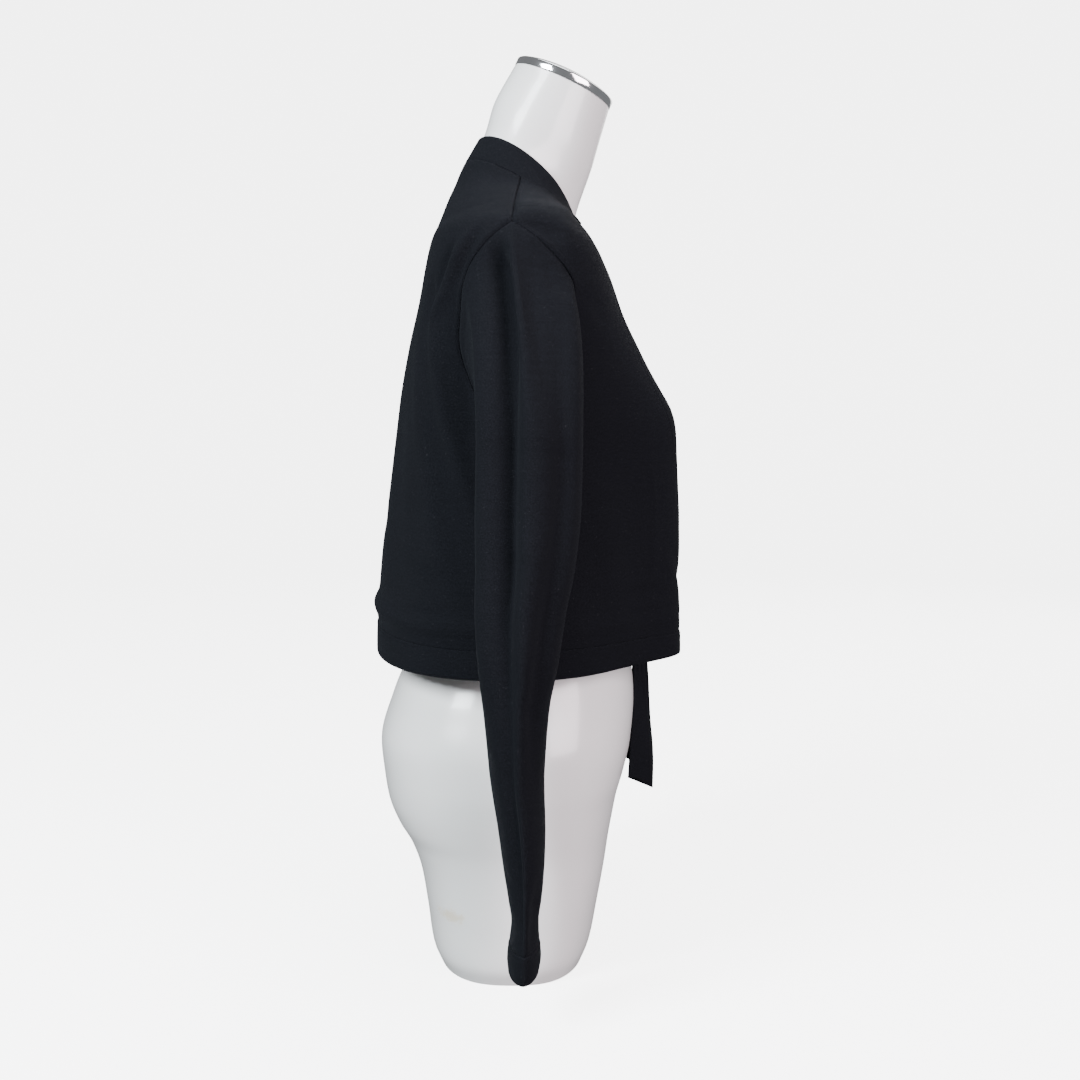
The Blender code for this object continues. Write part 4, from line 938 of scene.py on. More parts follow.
def u_at(z):
    """Sleeve coordinate of a height below the cap."""
    return 1.0 + (ARM_HEAD_Z - z) / (ARM_HEAD_Z - CUFF_FOOT_Z)


def form_point(side, alpha, v):
    """The form follows the cloth at neck and shoulders, set in by its wall and some clearance."""
    point, _, _, normal = surface_frame(FORM, side, alpha, v)
    inset = NECK_INSET + (SHOULDER_INSET - NECK_INSET) * smooth(v / 0.10)
    inset = inset * smooth((v + 0.07) / 0.07) * (1.0 - smooth((v - 0.38) / 0.09))
    level = smooth((v - 0.28) / 0.08) * (1.0 - smooth((v - 0.66) / 0.08))
    round_arm = smooth((alpha - 60.0) / 25.0) * (1.0 - smooth((alpha - 145.0) / 20.0))
    inset = inset + UNDERARM_INSET * level * round_arm
    return point - normal * inset[..., None]


def new_piece(name, points, edges, faces):
    """A smooth object of these points, at the origin."""
    mesh = bpy.data.meshes.new(name)
    mesh.from_pydata(np.reshape(points, (-1, 3)).tolist(), edges, faces)
    mesh.shade_smooth()
    obj = bpy.data.objects.new(name, mesh)
    bpy.context.scene.collection.objects.link(obj)
    return obj


def cloth_mesh(name, points, flat, ring=False, loop=False, flip=False):
    """Mesh of a grid of points with its flat coordinates as UV; flat has one more row or column
    than points where the grid closes on itself."""
    rows, columns = points.shape[:2]
    index = np.arange(rows * columns).reshape(rows, columns)
    if ring:
        index = joined(index, 1)
    if loop:
        index = joined(index, 0)

    def corners(grid):
        order = [grid[:-1, :-1], grid[:-1, 1:], grid[1:, 1:], grid[1:, :-1]]
        return np.stack(order[::-1] if flip else order, axis=2)

    obj = new_piece(name, points, [], corners(index).reshape(-1, 4).tolist())
    layer = obj.data.uv_layers.new(name="flat")
    layer.data.foreach_set("uv", corners(flat).reshape(-1))
    return obj


def close_ends(obj):
    """Close the open ends of a tube of cloth."""
    bm = bmesh.new()
    bm.from_mesh(obj.data)
    open_edges = [edge for edge in bm.edges if edge.is_boundary]
    bmesh.ops.holes_fill(bm, edges=open_edges, sides=0)
    bm.to_mesh(obj.data)
    bm.free()


def thicken(obj, wall):
    """Give a cloth surface its thickness, inward from its outer face."""
    solid = obj.modifiers.new("wall", "SOLIDIFY")
    solid.thickness = wall
    solid.offset = -1.0
    solid.use_rim = True


def dress(obj, material, node):
    """Material, body, and the solid that a piece stands for."""
    obj.data.materials.clear()
    obj.data.materials.append(material)
    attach(obj, "root")
    if node:
        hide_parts(node)
    return obj


def seam_relief(near):
    """Height of a panel beside its seams: sunk into them, and raised over their turnings."""
    return SEAM_RIDGE * bell((near - RIDGE_AT) / RIDGE_WIDTH) - SEAM_SINK * bell(near / SEAM_ROLL)


def relief(name, near, flat, share):
    """Height of a panel: its share of the seam relief, and its wrinkles clear of the seams."""
    return seam_relief(near) * share + wrinkle_height(name, flat) * smooth(near / WRINKLE_CLEAR)


def near_band(distance):
    """Share of the seam relief that is left beside the neck band, whose seam hardly shows."""
    return BAND_RELIEF + (1.0 - BAND_RELIEF) * smooth((distance - 0.006) / 0.012)


def seam_depth(v):
    """Share of the seam relief: deep at the shoulder and armhole, faint at the hem."""
    return HEM_RELIEF + (SHOULDER_RELIEF - HEM_RELIEF) * smooth((0.75 - v) / 0.35)


def seam_tape(side, low, high):
    """Seam allowance of a shoulder or side seam: a strip under both panels."""
    v = np.linspace(low, high, 60)[:, None]
    half = seam_half_gap(side, 90.0, v) * TAPE_HALF / (PANEL_SEAM * SEAM_GAP)
    alpha = 90.0 + half * np.array([-1.0, 0.0, 1.0])
    points = cloth_point(side, alpha, v * np.ones(alpha.shape), -TONGUE_DEPTH, 1.0)
    across = TAPE_HALF * np.array([0.0, 1.0, 2.0])[None, :] * np.ones(alpha.shape)
    flat = np.stack([across, -travelled(points)], axis=-1)
    return cloth_mesh("seam_tape", points, flat, flip=side > 0)


def build_front(settings, side, name):
    """Front panel with the allowances of its shoulder and side seams."""
    alpha, v = np.moveaxis(front_places(side), -1, 0)
    across = spread_shares(FRONT_ACROSS, 0.15)[None, :]
    blouse = smooth(across / 0.25) * np.ones(alpha.shape)
    near = edge_distance(cloth_point(side, alpha, v, 0.0, blouse))
    flat = flat_place(side, alpha, v)
    share = near_band(travelled(cloth_point(side, alpha, v), 1)) * seam_depth(v)
    points = cloth_point(side, alpha, v, relief(name, near, flat, share), blouse)
    obj = cloth_mesh(name + "_panel", points, flat, flip=side > 0)
    top = float(seam_place(side, T_SHOULDER)[1])
    bpy.ops.object.select_all(action="DESELECT")
    for low, high in ((top, ARMHOLE_TOP), (ARMHOLE_FOOT, HEM_TOP)):
        seam_tape(side, low, high).select_set(True)
    obj.select_set(True)
    bpy.context.view_layer.objects.active = obj
    bpy.ops.object.join()
    thicken(obj, settings.cloth_wall)
    return obj


def build_back(settings):
    """Back panel, whose two halves meet at the centre."""
    right, left = [back_places(side) for side, _ in SIDES]
    alpha, v = np.moveaxis(np.concatenate([right[:, ::-1], left[:, 1:]], axis=1), -1, 0)
    sides = np.where(np.arange(alpha.shape[1]) < right.shape[1], -1.0, 1.0) * np.ones(alpha.shape)
    near = edge_distance(cloth_point(sides, alpha, v, 0.0, 1.0))
    flat = flat_place(sides, alpha, v)
    centre = flat_place(sides, np.full(alpha.shape, 180.0), v)
    flat[..., 0] = sides * (flat[..., 0] - centre[..., 0])
    share = near_band(np.where(v < 0.12, np.abs(flat[..., 0]) - 0.065, 1.0)) * seam_depth(v)
    points = cloth_point(sides, alpha, v, relief("back", near, flat, share), 1.0)
    obj = cloth_mesh("back_panel", points, flat)
    thicken(obj, settings.cloth_wall)
    return obj


def sleeve_turns():
    """Angles round a sleeve, the closing one left out."""
    return np.linspace(-180.0, 180.0, SLEEVE_AROUND + 1)[:-1]


def build_sleeve(settings, side, name):
    """Sleeve with its cap, and the seam allowance that lies under the body cloth."""
    theta = sleeve_turns()
    cap = 1.0 - np.cos(np.linspace(0.0, math.pi / 2.0, SLEEVE_CAP_ROWS))
    cap = np.concatenate([[0.0, 0.004, 0.010, 0.018, 0.028], cap[(cap > 0.072) & (cap < 0.999)]])
    low = np.linspace(1.0, u_at(CUFF_TOP_Z), SLEEVE_LOW_ROWS)
    foot = u_at(CUFF_TOP_Z + np.array([0.0045, 0.0025, 0.0011, 0.0]))
    levels = np.unique(np.concatenate([cap, low[low < foot[0] - 0.003], foot]))
    grid_theta = theta[None, :] * np.ones((len(levels), 1))
    grid_u = levels[:, None] * np.ones((1, len(theta)))
    points = sleeve_point(side, grid_theta, grid_u)
    down = travelled(points)
    around = travelled(joined(points, 1), 1)
    around = around - around[:, SLEEVE_AROUND // 2][:, None]
    flat = np.stack([around, joined(down[-1][None, :] - down, 1)], axis=-1)
    near = np.minimum(down, down[-1] - down)
    share = seam_depth(armhole_place(grid_theta)[1])
    share = np.where(down < down[-1] * 0.5, share, CUFF_RELIEF)
    points = sleeve_point(side, grid_theta, grid_u, relief(name, near, flat[:, :-1], share))
    points = np.concatenate([sleeve_tongue(side, theta), points])
    steps = flat[:1] + np.array([[[0.0, TONGUE_DEPTH + ARM_TONGUE]], [[0.0, TONGUE_DEPTH]]])
    flat = np.concatenate([steps, flat])
    obj = cloth_mesh(name + "_tube", points, flat, ring=True, flip=side < 0)
    thicken(obj, settings.cloth_wall)
    return obj


def fold_section(width, wall, raised=BAND_RAISE, full=BAND_FULL):
    """Closed section of a folded band: distance from the folded edge, height, and flat distance."""
    radius = wall / 2.0
    strips = width - np.array([0.0, 0.0008, 0.0018, 0.0032, 0.0050])
    outer = np.concatenate([strips, np.linspace(width - 0.0080, radius, 6)])
    face = raised + full * np.sin(math.pi * np.clip(outer / width, 0.0, 1.0)) ** 0.7
    face = face - full * bell((width - outer) / 0.0012)
    turn = np.radians(np.linspace(18.0, 162.0, 7))
    bend = radius - radius * np.sin(turn)
    bend_height = raised - radius + radius * np.cos(turn)
    inner = np.concatenate([np.linspace(radius, width - 0.004, 4), [width]])
    inner_height = np.full(inner.shape, raised - wall)
    inner = np.append(inner, width + BAND_TONGUE * np.array([1.0, 1.0, 0.0]))
    inner_height = np.append(inner_height, [raised - wall, -TONGUE_DEPTH, -TONGUE_DEPTH])
    distance = np.concatenate([outer, bend, inner])
    height = np.concatenate([face, bend_height, inner_height])
    return distance, height, travelled(joined(np.stack([distance, height], axis=-1), 0))


def band_flat(points, run):
    """Flat coordinates of a band: length along it and distance round its section."""
    along = travelled(points[:, 12])
    along = along - along[len(along) // 2]
    return np.stack(np.broadcast_arrays(along[:, None], run[None, :]), axis=-1)


def band_line():
    """Sides and keys along the neck band, from the right end by the nape to the left end."""
    back = np.linspace(0.0, T_SHOULDER, 46)
    table = panel_keys()
    rows = len(table) - 1
    front = np.interp(np.linspace(0, rows, rows * PANEL_SPLIT + 1), np.arange(rows + 1), table)
    foot = np.linspace(T_HEM_SEAM, 1.0, 12)
    line = np.concatenate([back, front[1:], foot[1:]])
    sides = np.concatenate([np.full(len(line) - 1, -1.0), np.full(len(line), 1.0)])
    return sides, np.concatenate([line[:0:-1], line])


def build_neck_band(settings):
    """Folded neck band, round the back of the neck and down both front edges."""
    sides, keys = band_line()
    distance, height, run = fold_section(BAND_WIDTH, settings.band_wall, NECK_RAISE, NECK_FULL)
    alpha, v = band_place(sides[:, None], keys[:, None], distance[None, :])
    grid = np.ones(alpha.shape)
    points = cloth_point(sides[:, None] * grid, alpha, v, height[None, :] * grid)
    obj = cloth_mesh("neck_band_folded", points, band_flat(points, run), ring=True, flip=True)
    close_ends(obj)
    return obj


def build_hem(settings, side, name):
    """One length of the hem band: side -1 or 1 for a front, 0 for the back."""
    distance, height, run = fold_section(HEM_WIDTH, settings.band_wall)
    v = 1.0 - (1.0 - HEM_TOP - HEM_SEAM) * distance / HEM_WIDTH
    half = seam_half_gap(1.0, 90.0, v)
    if side:
        table = np.linspace(0.9, 1.0, 400)
        inner = seam_place(side, np.interp(v, EDGE.at(table).v, table))[0]
        span = 90.0 - half - inner
        sides = side
        shares = spread_shares(HEM_ACROSS // 2, 0.17)
    else:
        inner = 90.0 + half
        span = 180.0 - 2.0 * half
        sides = -1.0
        shares = spread_shares(HEM_ACROSS, 0.45)
    alpha = inner[None, :] + span[None, :] * shares[:, None]
    grid = np.ones(alpha.shape)
    points = cloth_point(sides * grid, alpha, v[None, :] * grid, height[None, :] * grid)
    obj = cloth_mesh(name, points, band_flat(points, run), ring=True, flip=side > 0)
    close_ends(obj)
    return obj


def build_cuff(settings, side, name):
    """Folded cuff at a sleeve's foot."""
    width = CUFF_TOP_Z - SEAM_GAP - CUFF_FOOT_Z
    distance, height, run = fold_section(width, settings.band_wall)
    theta = sleeve_turns()
    u = u_at(CUFF_FOOT_Z + distance)
    grid = np.ones((len(theta), len(u)))
    points = sleeve_point(side, theta[:, None] * grid, u[None, :] * grid, height * grid)
    flat = band_flat(joined(points, 0), run)
    return cloth_mesh(name, points, flat, ring=True, loop=True, flip=side < 0)


def strap_section(count):
    """Closed section of a flat strap: share across it, lead past its edge, side of its middle."""
    across = np.linspace(0.0, 1.0, count)
    turn = np.radians(np.linspace(30.0, 150.0, 5))
    share = np.concatenate([across, np.ones(5), across[::-1], np.zeros(5)])
    lead = np.concatenate([np.zeros(count), np.sin(turn), np.zeros(count), -np.sin(turn)])
    level = np.concatenate([np.ones(count), np.cos(turn), -np.ones(count), -np.cos(turn)])
    return share, lead, level


def build_tie(settings, side, name):
    """Tie end: gathered at the knot, open and slightly curled at its foot."""
    share, lead, level = strap_section(15)
    drop = np.linspace(0.0, 1.0, 90)
    row = TIE.at(drop)
    f = share[None, :]
    foot = TIE_REAR_END[side] * (1.0 - f) + TIE_FRONT_END[side] * f
    foot = foot + TIE_HOLLOW * np.sin(math.pi * f)
    rear = np.stack([side * row.rear_x, row.rear_y], axis=-1)[:, None]
    front = np.stack([side * row.front_x, row.front_y], axis=-1)[:, None]
    plan = rear + (front - rear) * f[..., None]
    across = unit(front - rear)
    outward = np.stack([across[..., 1], -across[..., 0]], axis=-1) * -side
    outward = outward * np.where(outward[..., :1] * side < 0.0, -1.0, 1.0)
    radius = settings.tie_wall / 2.0
    gather = (1.0 - smooth(drop / TIE_GATHER_FADE))[:, None] * TIE_GATHER
    pleats = gather * np.cos(2.0 * math.pi * f * TIE_PLEATS + 0.6)
    curl = TIE_CURL * np.sin(math.pi * f) * np.sin(math.pi * drop)[:, None]
    ripple = TIE_RIPPLE * np.sin(7.0 * drop + 2.0)[:, None] * np.sin(math.pi * (f - 0.2))
    body = pleats + ripple + radius * level[None, :] - radius
    plan = plan + outward * body[..., None] + across * (radius * lead)[None, :, None]
    z = TIE_TOP + (foot - TIE_TOP) * drop[:, None]
    points = np.concatenate([plan, z[..., None]], axis=-1)
    points[..., 1] -= curl
    around = travelled(joined(points, 1), 1)
    down = travelled(points[:, 7])
    flat = np.stack(np.broadcast_arrays(around, -down[:, None]), axis=-1)
    obj = cloth_mesh(name, points, flat, ring=True, flip=side < 0)
    close_ends(obj)
    return obj


def build_knot_wrap():
    """Loop of the knot: a pleated strap round the gathered ends."""
    share, lead, level = strap_section(19)
    turn = np.linspace(0.0, 2.0 * math.pi, 97)[:-1]
    radial = np.stack([np.zeros(turn.shape), -np.cos(turn), np.sin(turn)], axis=-1)
    middle = np.array(KNOT_CENTRE) + radial * np.array([0.0, WRAP_HALF_Y, WRAP_HALF_Z])
    middle[:, 0] += WRAP_SWAY * np.sin(turn + 0.5)
    width = WRAP_WIDTH * (0.86 + 0.14 * np.cos(turn))
    s = share[None, :] - 0.5
    phase = turn[:, None]
    crown = WRAP_CROWN * np.cos(math.pi * s)
    pleats = WRAP_PLEAT * np.cos(2.0 * math.pi * (s * 2.6 + 0.10 * np.sin(phase)) + 0.8)
    rise = (crown + pleats) * (level > 0.0) + WRAP_WALL / 2.0 * level[None, :]
    x = s * width[:, None] + WRAP_WALL / 2.0 * lead[None, :]
    points = middle[:, None] + radial[:, None] * rise[..., None]
    points[..., 0] += x + 0.0012 * np.sin(phase)
    along = turn * (WRAP_HALF_Y + WRAP_HALF_Z) / 2.0
    along = np.append(along, 2.0 * along[-1] - along[-2])
    around = travelled(joined(points[0], 0))
    flat = np.stack(np.broadcast_arrays(around[None, :], along[:, None]), axis=-1)
    return cloth_mesh("knot_wrap", points, flat, ring=True, loop=True, flip=True)


def build_knot_strand():
    """The two band ends gathered into one strand through the knot."""
    turn = np.linspace(0.0, 2.0 * math.pi, 73)[:-1]
    run = np.linspace(-1.0, 1.0, 81)
    sides = np.array([side for side, _ in SIDES])
    right, left = cloth_point(sides, STRAND_END_ALPHA, STRAND_END_LEVEL, -STRAND_SINK)
    centre = np.array(KNOT_CENTRE)
    share = np.abs(run)[:, None]
    far = np.where(run[:, None] < 0.0, right, left)
    ease = smooth(share)
    middle = centre * (1.0 - ease) + far * ease
    middle[:, 0] = centre[0] * (1.0 - share[:, 0]) + far[:, 0] * share[:, 0]
    high = 0.0052 + 0.0030 * smooth((share - 0.15) / 0.85)
    deep = 0.0044 - 0.0024 * smooth((share - 0.2) / 0.8)
    wave = np.cos(7.0 * turn[None, :] + 3.0 * run[:, None])
    pleat = 1.0 + STRAND_PLEAT * wave * (1.0 - 0.4 * share)
    y = middle[:, 1:2] - deep * np.cos(turn)[None, :] * pleat
    z = middle[:, 2:3] + high * np.sin(turn)[None, :] * pleat
    x = middle[:, :1] * np.ones(y.shape)
    points = np.stack([x, y, z], axis=-1)
    flat = np.stack(np.broadcast_arrays(travelled(joined(points, 1), 1), x[:, :1]), axis=-1)
    obj = cloth_mesh("knot_strand", points, flat, ring=True, flip=True)
    close_ends(obj)
    return obj


def stitch_line(points, normals):
    """Places, directions and normals of stitches at one pitch along a line."""
    length = travelled(points)
    count = int(length[-1] / STITCH_PITCH)
    at = (np.arange(count) + 0.5) * length[-1] / count

    def read(table, where):
        return np.stack([np.interp(where, length, table[:, axis]) for axis in range(3)], axis=-1)

    ahead = read(points, at + 0.0004) - read(points, at - 0.0004)
    return read(points, at), unit(ahead), unit(read(normals, at))


def build_stitches(name, line):
    """All stitches of one band as one mesh: small threads that dip into the cloth at their ends."""
    rings = [(-0.5, 0.0, -0.3), (-0.36, 0.8, 0.55), (0.0, 1.0, 1.0), (0.36, 0.8, 0.55),
             (0.5, 0.0, -0.3)]
    shape = []
    for along, wide, high in rings:
        for x, z in ((-1.0, 0.0), (-0.5, 0.85), (0.5, 0.85), (1.0, 0.0)):
            lift = high if wide else -0.3
            half = STITCH_WIDTH / 2.0 * max(wide, 0.35)
            shape.append((along * STITCH_LENGTH, x * half, (z * lift - 0.15) * STITCH_HEIGHT))
    shape = np.array(shape)
    first = (np.arange(len(rings) - 1)[:, None] * 4 + np.arange(3)).reshape(-1, 1)
    faces = first + np.array([0, 1, 5, 4])
    place, ahead, up = stitch_line(*line)
    aside = np.cross(up, ahead)
    verts = place[:, None] + ahead[:, None] * shape[None, :, :1]
    verts = verts + aside[:, None] * shape[None, :, 1:2] + up[:, None] * shape[None, :, 2:]
    index = np.arange(len(verts))[:, None, None] * len(shape) + faces[None]
    return new_piece(name, verts, [], index.reshape(-1, 4).tolist())


def on_face(surface, place, face):
    """Points of a line on a band's face, and the directions out of it."""
    points = surface(*place, face)
    return points, points - surface(*place, face - 0.001)


def neck_stitch_line():
    """Line of the stitches beside the neck band's seam."""
    sides, keys = band_line()
    alpha, v = band_place(sides, keys, np.full(keys.shape, BAND_WIDTH - STITCH_INSET))
    return on_face(cloth_point, (sides, alpha, v), NECK_RAISE + NECK_FULL * 0.35)


def hem_stitch_line(side):
    """Line of the stitches of one length of the hem band; side as for the band."""
    low, high = (21.0, 89.6) if side else (90.4, 269.6)
    level = 1.0 - (1.0 - HEM_TOP - HEM_SEAM) * (1.0 - STITCH_INSET / HEM_WIDTH)
    place = (side or -1.0, np.linspace(low, high, 400), level)
    return on_face(cloth_point, place, BAND_RAISE + BAND_FULL * 0.45)


def cuff_stitch_line(side):
    """Line of the stitches round a cuff."""
    place = (side, np.linspace(-180.0, 180.0, 361), u_at(CUFF_TOP_Z - SEAM_GAP - STITCH_INSET))
    return on_face(sleeve_point, place, BAND_RAISE + BAND_FULL * 0.45)


def build_form():
    """Smooth torso form, from the rim under its cap to its flat foot."""
    rim, foot = FORM.rings.keys[0], FORM.rings.keys[-1]
    levels = np.concatenate([np.linspace(rim, 0.0, 22)[:-1], np.linspace(0.0, foot, 190)])
    turns = np.linspace(0.0, 360.0, 145)[:-1]
    sides = np.where(turns <= 180.0, 1.0, -1.0)[None, :] * np.ones((len(levels), 1))
    alpha = np.where(turns <= 180.0, turns, 360.0 - turns)[None, :] * np.ones((len(levels), 1))
    points = form_point(sides, alpha, levels[:, None] * np.ones(alpha.shape))
    points[0, :, 2] = CAP_CENTRE[2] + (points[0, :, 1] - CAP_CENTRE[1]) * math.tan(CAP_TILT)
    points[-1, :, 2] = 0.0
    closed = joined(points, 1)
    flat = np.stack([np.arctan2(closed[..., 0], closed[..., 1]), closed[..., 2]], axis=-1)
    obj = cloth_mesh("torso_form", points, flat, ring=True)
    close_ends(obj)
    obj.data.set_sharp_from_angle(angle=math.radians(50.0))
    return obj


def build_cap():
    """Neck cap: a profile spun round the neck's leaning axis."""
    bpy.ops.object.select_all(action="DESELECT")
    radii = np.linspace(0.004, 0.0485, 16)
    dome = CAP_TOP - (CAP_TOP - CAP_DOME_FOOT) * (radii / CAP_DOME_RADIUS) ** 2.2
    heights = 0.25 * np.interp(radii, *np.transpose(CAP_CROWN)) + 0.75 * dome
    outline = [CAP_CROWN[0], *zip(radii, heights), *CAP_EDGE]
    points = [(radius, 0.0, height) for radius, height in outline]
    obj = new_piece("neck_cap", points, [(i, i + 1) for i in range(len(points) - 1)], [])
    mesh = obj.data
    bpy.context.view_layer.objects.active = obj
    obj.select_set(True)
    bpy.ops.object.mode_set(mode="EDIT")
    bpy.ops.mesh.select_all(action="SELECT")
    bpy.ops.mesh.spin(steps=128, angle=2.0 * math.pi, center=(0.0, 0.0, 0.0), axis=(0.0, 0.0, 1.0))
    bpy.ops.mesh.select_all(action="SELECT")
    bpy.ops.mesh.remove_doubles(threshold=0.00001)
    bpy.ops.mesh.normals_make_consistent(inside=False)
    bpy.ops.object.mode_set(mode="OBJECT")
    turn = Matrix.Translation(CAP_CENTRE) @ Matrix.Rotation(CAP_TILT, 4, "X")
    mesh.transform(turn)
    mesh.shade_smooth()
    mesh.set_sharp_from_angle(angle=math.radians(60.0))
    return obj


class Wire:
    """A node's output that takes part in Python arithmetic; each step adds a Math node."""

    def __init__(self, bench, socket):
        self.bench = bench
        self.socket = socket

    def __add__(self, other):
        return self.bench.math("ADD", self, other)

    __radd__ = __add__

    def __sub__(self, other):
        return self.bench.math("SUBTRACT", self, other)

    def __rsub__(self, other):
        return self.bench.math("SUBTRACT", other, self)

    def __mul__(self, other):
        return self.bench.math("MULTIPLY", self, other)

    __rmul__ = __mul__

    def __truediv__(self, other):
        return self.bench.math("DIVIDE", self, other)

    def __pow__(self, other):
        return self.bench.math("POWER", self, other)

    def wave(self):
        return self.bench.math("SINE", self * (2.0 * math.pi))

    def fraction(self):
        return self.bench.math("FRACT", self)

    def size(self):
        return self.bench.math("ABSOLUTE", self)

    def within(self, low, high):
        """0 at low and 1 at high, eased between."""
        settings = {"interpolation_type": "SMOOTHSTEP"}
        values = {"Value": self, "From Min": low, "From Max": high}
        return self.bench.node("ShaderNodeMapRange", settings, values, "Result")


class Bench:
    """One material's nodes."""

    def __init__(self, name, swatch):
        self.material = bpy.data.materials.new(name)
        self.material.use_nodes = True
        self.material.diffuse_color = (*swatch, 1.0)
        self.tree = self.material.node_tree
        self.shader = self.tree.nodes["Principled BSDF"]

    def plug(self, socket, value):
        if isinstance(value, Wire):
            self.tree.links.new(value.socket, socket)
        else:
            socket.default_value = value

    def node(self, kind, settings, values, output):
        made = self.tree.nodes.new(kind)
        for name, value in settings.items():
            setattr(made, name, value)
        for name, value in values.items():
            self.plug(made.inputs[name], value)
        return Wire(self, made.outputs[output])

    def math(self, operation, *values):
        return self.node("ShaderNodeMath", {"operation": operation}, dict(enumerate(values)), 0)

    def mix(self, factor, first, second):
        """Colour between two colours."""
        settings = {"data_type": "RGBA"}
        values = {0: factor, 6: first, 7: second}
        return self.node("ShaderNodeMix", settings, values, 2)

    def place(self, x, y, z=0.0):
        return self.node("ShaderNodeCombineXYZ", {}, {"X": x, "Y": y, "Z": z}, "Vector")

    def noise(self, vector, scale, detail=2.0, roughness=0.5):
        values = {"Vector": vector, "Scale": scale, "Detail": detail, "Roughness": roughness}
        return self.node("ShaderNodeTexNoise", {}, values, "Fac")

    def axis(self, vector, name):
        return self.node("ShaderNodeSeparateXYZ", {}, {"Vector": vector}, name)

    def spot(self):
        """Object coordinates, metres."""
        return self.node("ShaderNodeTexCoord", {}, {}, "Object")

    def flat(self):
        """Flat cloth coordinates, metres."""
        return self.node("ShaderNodeUVMap", {"uv_map": "flat"}, {}, "UV")

    def bump(self, height, distance, strength, under=None):
        values = {"Height": height, "Distance": distance, "Strength": strength}
        if under is not None:
            values["Normal"] = under
        return self.node("ShaderNodeBump", {}, values, "Normal")

    def finish(self, **values):
        for name, value in values.items():
            self.plug(self.shader.inputs[name.replace("_", " ")], value)
        return self.material


def toned(colour, share, lift=0.0):
    """A colour made darker or lighter, with its alpha."""
    return (*np.minimum(np.array(colour) * share + lift, 1.0), 1.0)


def knit_material(settings):
    """Fine jersey: columns of small V-shaped loops, uneven courses, soft fuzz and a little lint.
    The colour holds painted shade: darker in the hollows of the loops, lighter on their tops.
    """
    bench = Bench("jersey", settings.cloth_colour)
    flat = bench.flat()
    x = bench.axis(flat, "X")
    y = bench.axis(flat, "Y")
    drift = bench.noise(bench.place(x, y), 55.0, 1.0) * 0.5
    column = x / settings.wale + drift
    aside = (column.fraction() - 0.5).size()
    leg = (aside - 0.25) * 4.0
    leg = 1.0 - leg * leg
    loop = (y / settings.course - aside * 1.4 + drift).wave() * 0.5 + 0.5
    knit = leg * (loop * 0.55 + 0.45)
    fuzz = bench.noise(bench.place(x, y), 2300.0, 3.0, 0.65)
    speckle = bench.noise(bench.place(x, y), 900.0, 3.0, 0.75)
    course = bench.noise(bench.place(x * 9.0, y * 210.0), 1.0, 2.0)
    slack = bench.noise(bench.place(x * 34.0, y * 62.0), 1.0, 2.0)
    cloud = bench.noise(bench.place(x, y), 14.0, 3.0)
    lint = bench.noise(bench.place(x, y, 0.37), 620.0, 1.0).within(0.735, 0.80)
    # Painted shade: the loops' height darkens the colour in their hollows and lightens their tops;
    # cloud, fuzz and speckle vary the tone at random.
    tone_and_loop_shade = knit * 0.40 + cloud * 0.22 + fuzz * 0.35 + speckle * 3.0 - 1.57
    colour = settings.cloth_colour
    cloth = bench.mix(tone_and_loop_shade, toned(colour, 0.62), toned(colour, 1.55, 0.0008))
    cloth = bench.mix(lint * 0.16, cloth, (0.10, 0.10, 0.11, 1.0))
    normal = bench.bump(knit, 0.00035, 0.55)
    normal = bench.bump(course * 0.7 + slack * 0.8, 0.0016, 0.45, normal)
    normal = bench.bump(fuzz, 0.00020, 0.45, normal)
    rough = 0.80 + cloud * 0.12 - knit * 0.06
    return bench.finish(
        Base_Color=cloth, Roughness=rough, Normal=normal, Sheen_Weight=settings.sheen,
        Sheen_Roughness=0.50, Sheen_Tint=(0.80, 0.88, 1.0, 1.0), Specular_IOR_Level=0.03,
    )


def thread_material(settings):
    """Sewing thread: twisted, a little smoother than the cloth."""
    bench = Bench("sewing_thread", settings.cloth_colour)
    twist = bench.noise(bench.spot(), 2600.0, 2.0)
    base = settings.cloth_colour
    colour = bench.mix(twist, toned(base, 0.6), toned(base, 1.3))
    return bench.finish(Base_Color=colour, Roughness=0.75 + twist * 0.15, Specular_IOR_Level=0.05)


def shell_material(settings):
    """Moulded form: glossy white, faintly uneven, with a small old scuff near its foot."""
    bench = Bench("moulded_shell", settings.form_colour)
    spot = bench.spot()
    cloud = bench.noise(spot, 9.0, 3.0)
    peel = bench.noise(spot, 240.0, 2.0)
    dust = bench.noise(spot, 900.0, 2.0).within(0.68, 0.80)
    x = bench.axis(spot, "X")
    y = bench.axis(spot, "Y")
    z = bench.axis(spot, "Z")
    away = (y - SCUFF[1]) * (y - SCUFF[1]) * 0.25 + (z - SCUFF[2]) * (z - SCUFF[2])
    away = away ** 0.5 + (bench.noise(spot, 190.0, 3.0) - 0.5) * 0.010
    scuff = (1.0 - away.within(0.0015, 0.0075)) * x.within(-0.06, -0.10)
    base = settings.form_colour
    white = bench.mix(cloud, toned(base, 0.965), toned(base, 1.02))
    colour = bench.mix(scuff * 0.55, white, (0.62, 0.52, 0.33, 1.0))
    colour = bench.mix(dust * 0.10, colour, (0.45, 0.44, 0.42, 1.0))
    rough = 0.20 + cloud * 0.10 + scuff * 0.30 + dust * 0.10
    normal = bench.bump(peel, 0.00025, 0.10)
    return bench.finish(Base_Color=colour, Roughness=rough, Normal=normal, Coat_Weight=0.25)


def chrome_material(settings):
    """Polished cap: bright metal with faint turning marks and wiping haze."""
    bench = Bench("polished_chrome", settings.cap_colour)
    spot = bench.spot()
    haze = bench.noise(spot, 60.0, 3.0)
    fine = bench.noise(spot, 1500.0, 2.0)
    base = settings.cap_colour
    colour = bench.mix(haze, toned(base, 0.94), toned(base, 1.04))
    normal = bench.bump(fine, 0.00005, 0.05)
    rough = 0.06 + haze * 0.08
    return bench.finish(Base_Color=colour, Metallic=1.0, Roughness=rough, Normal=normal)


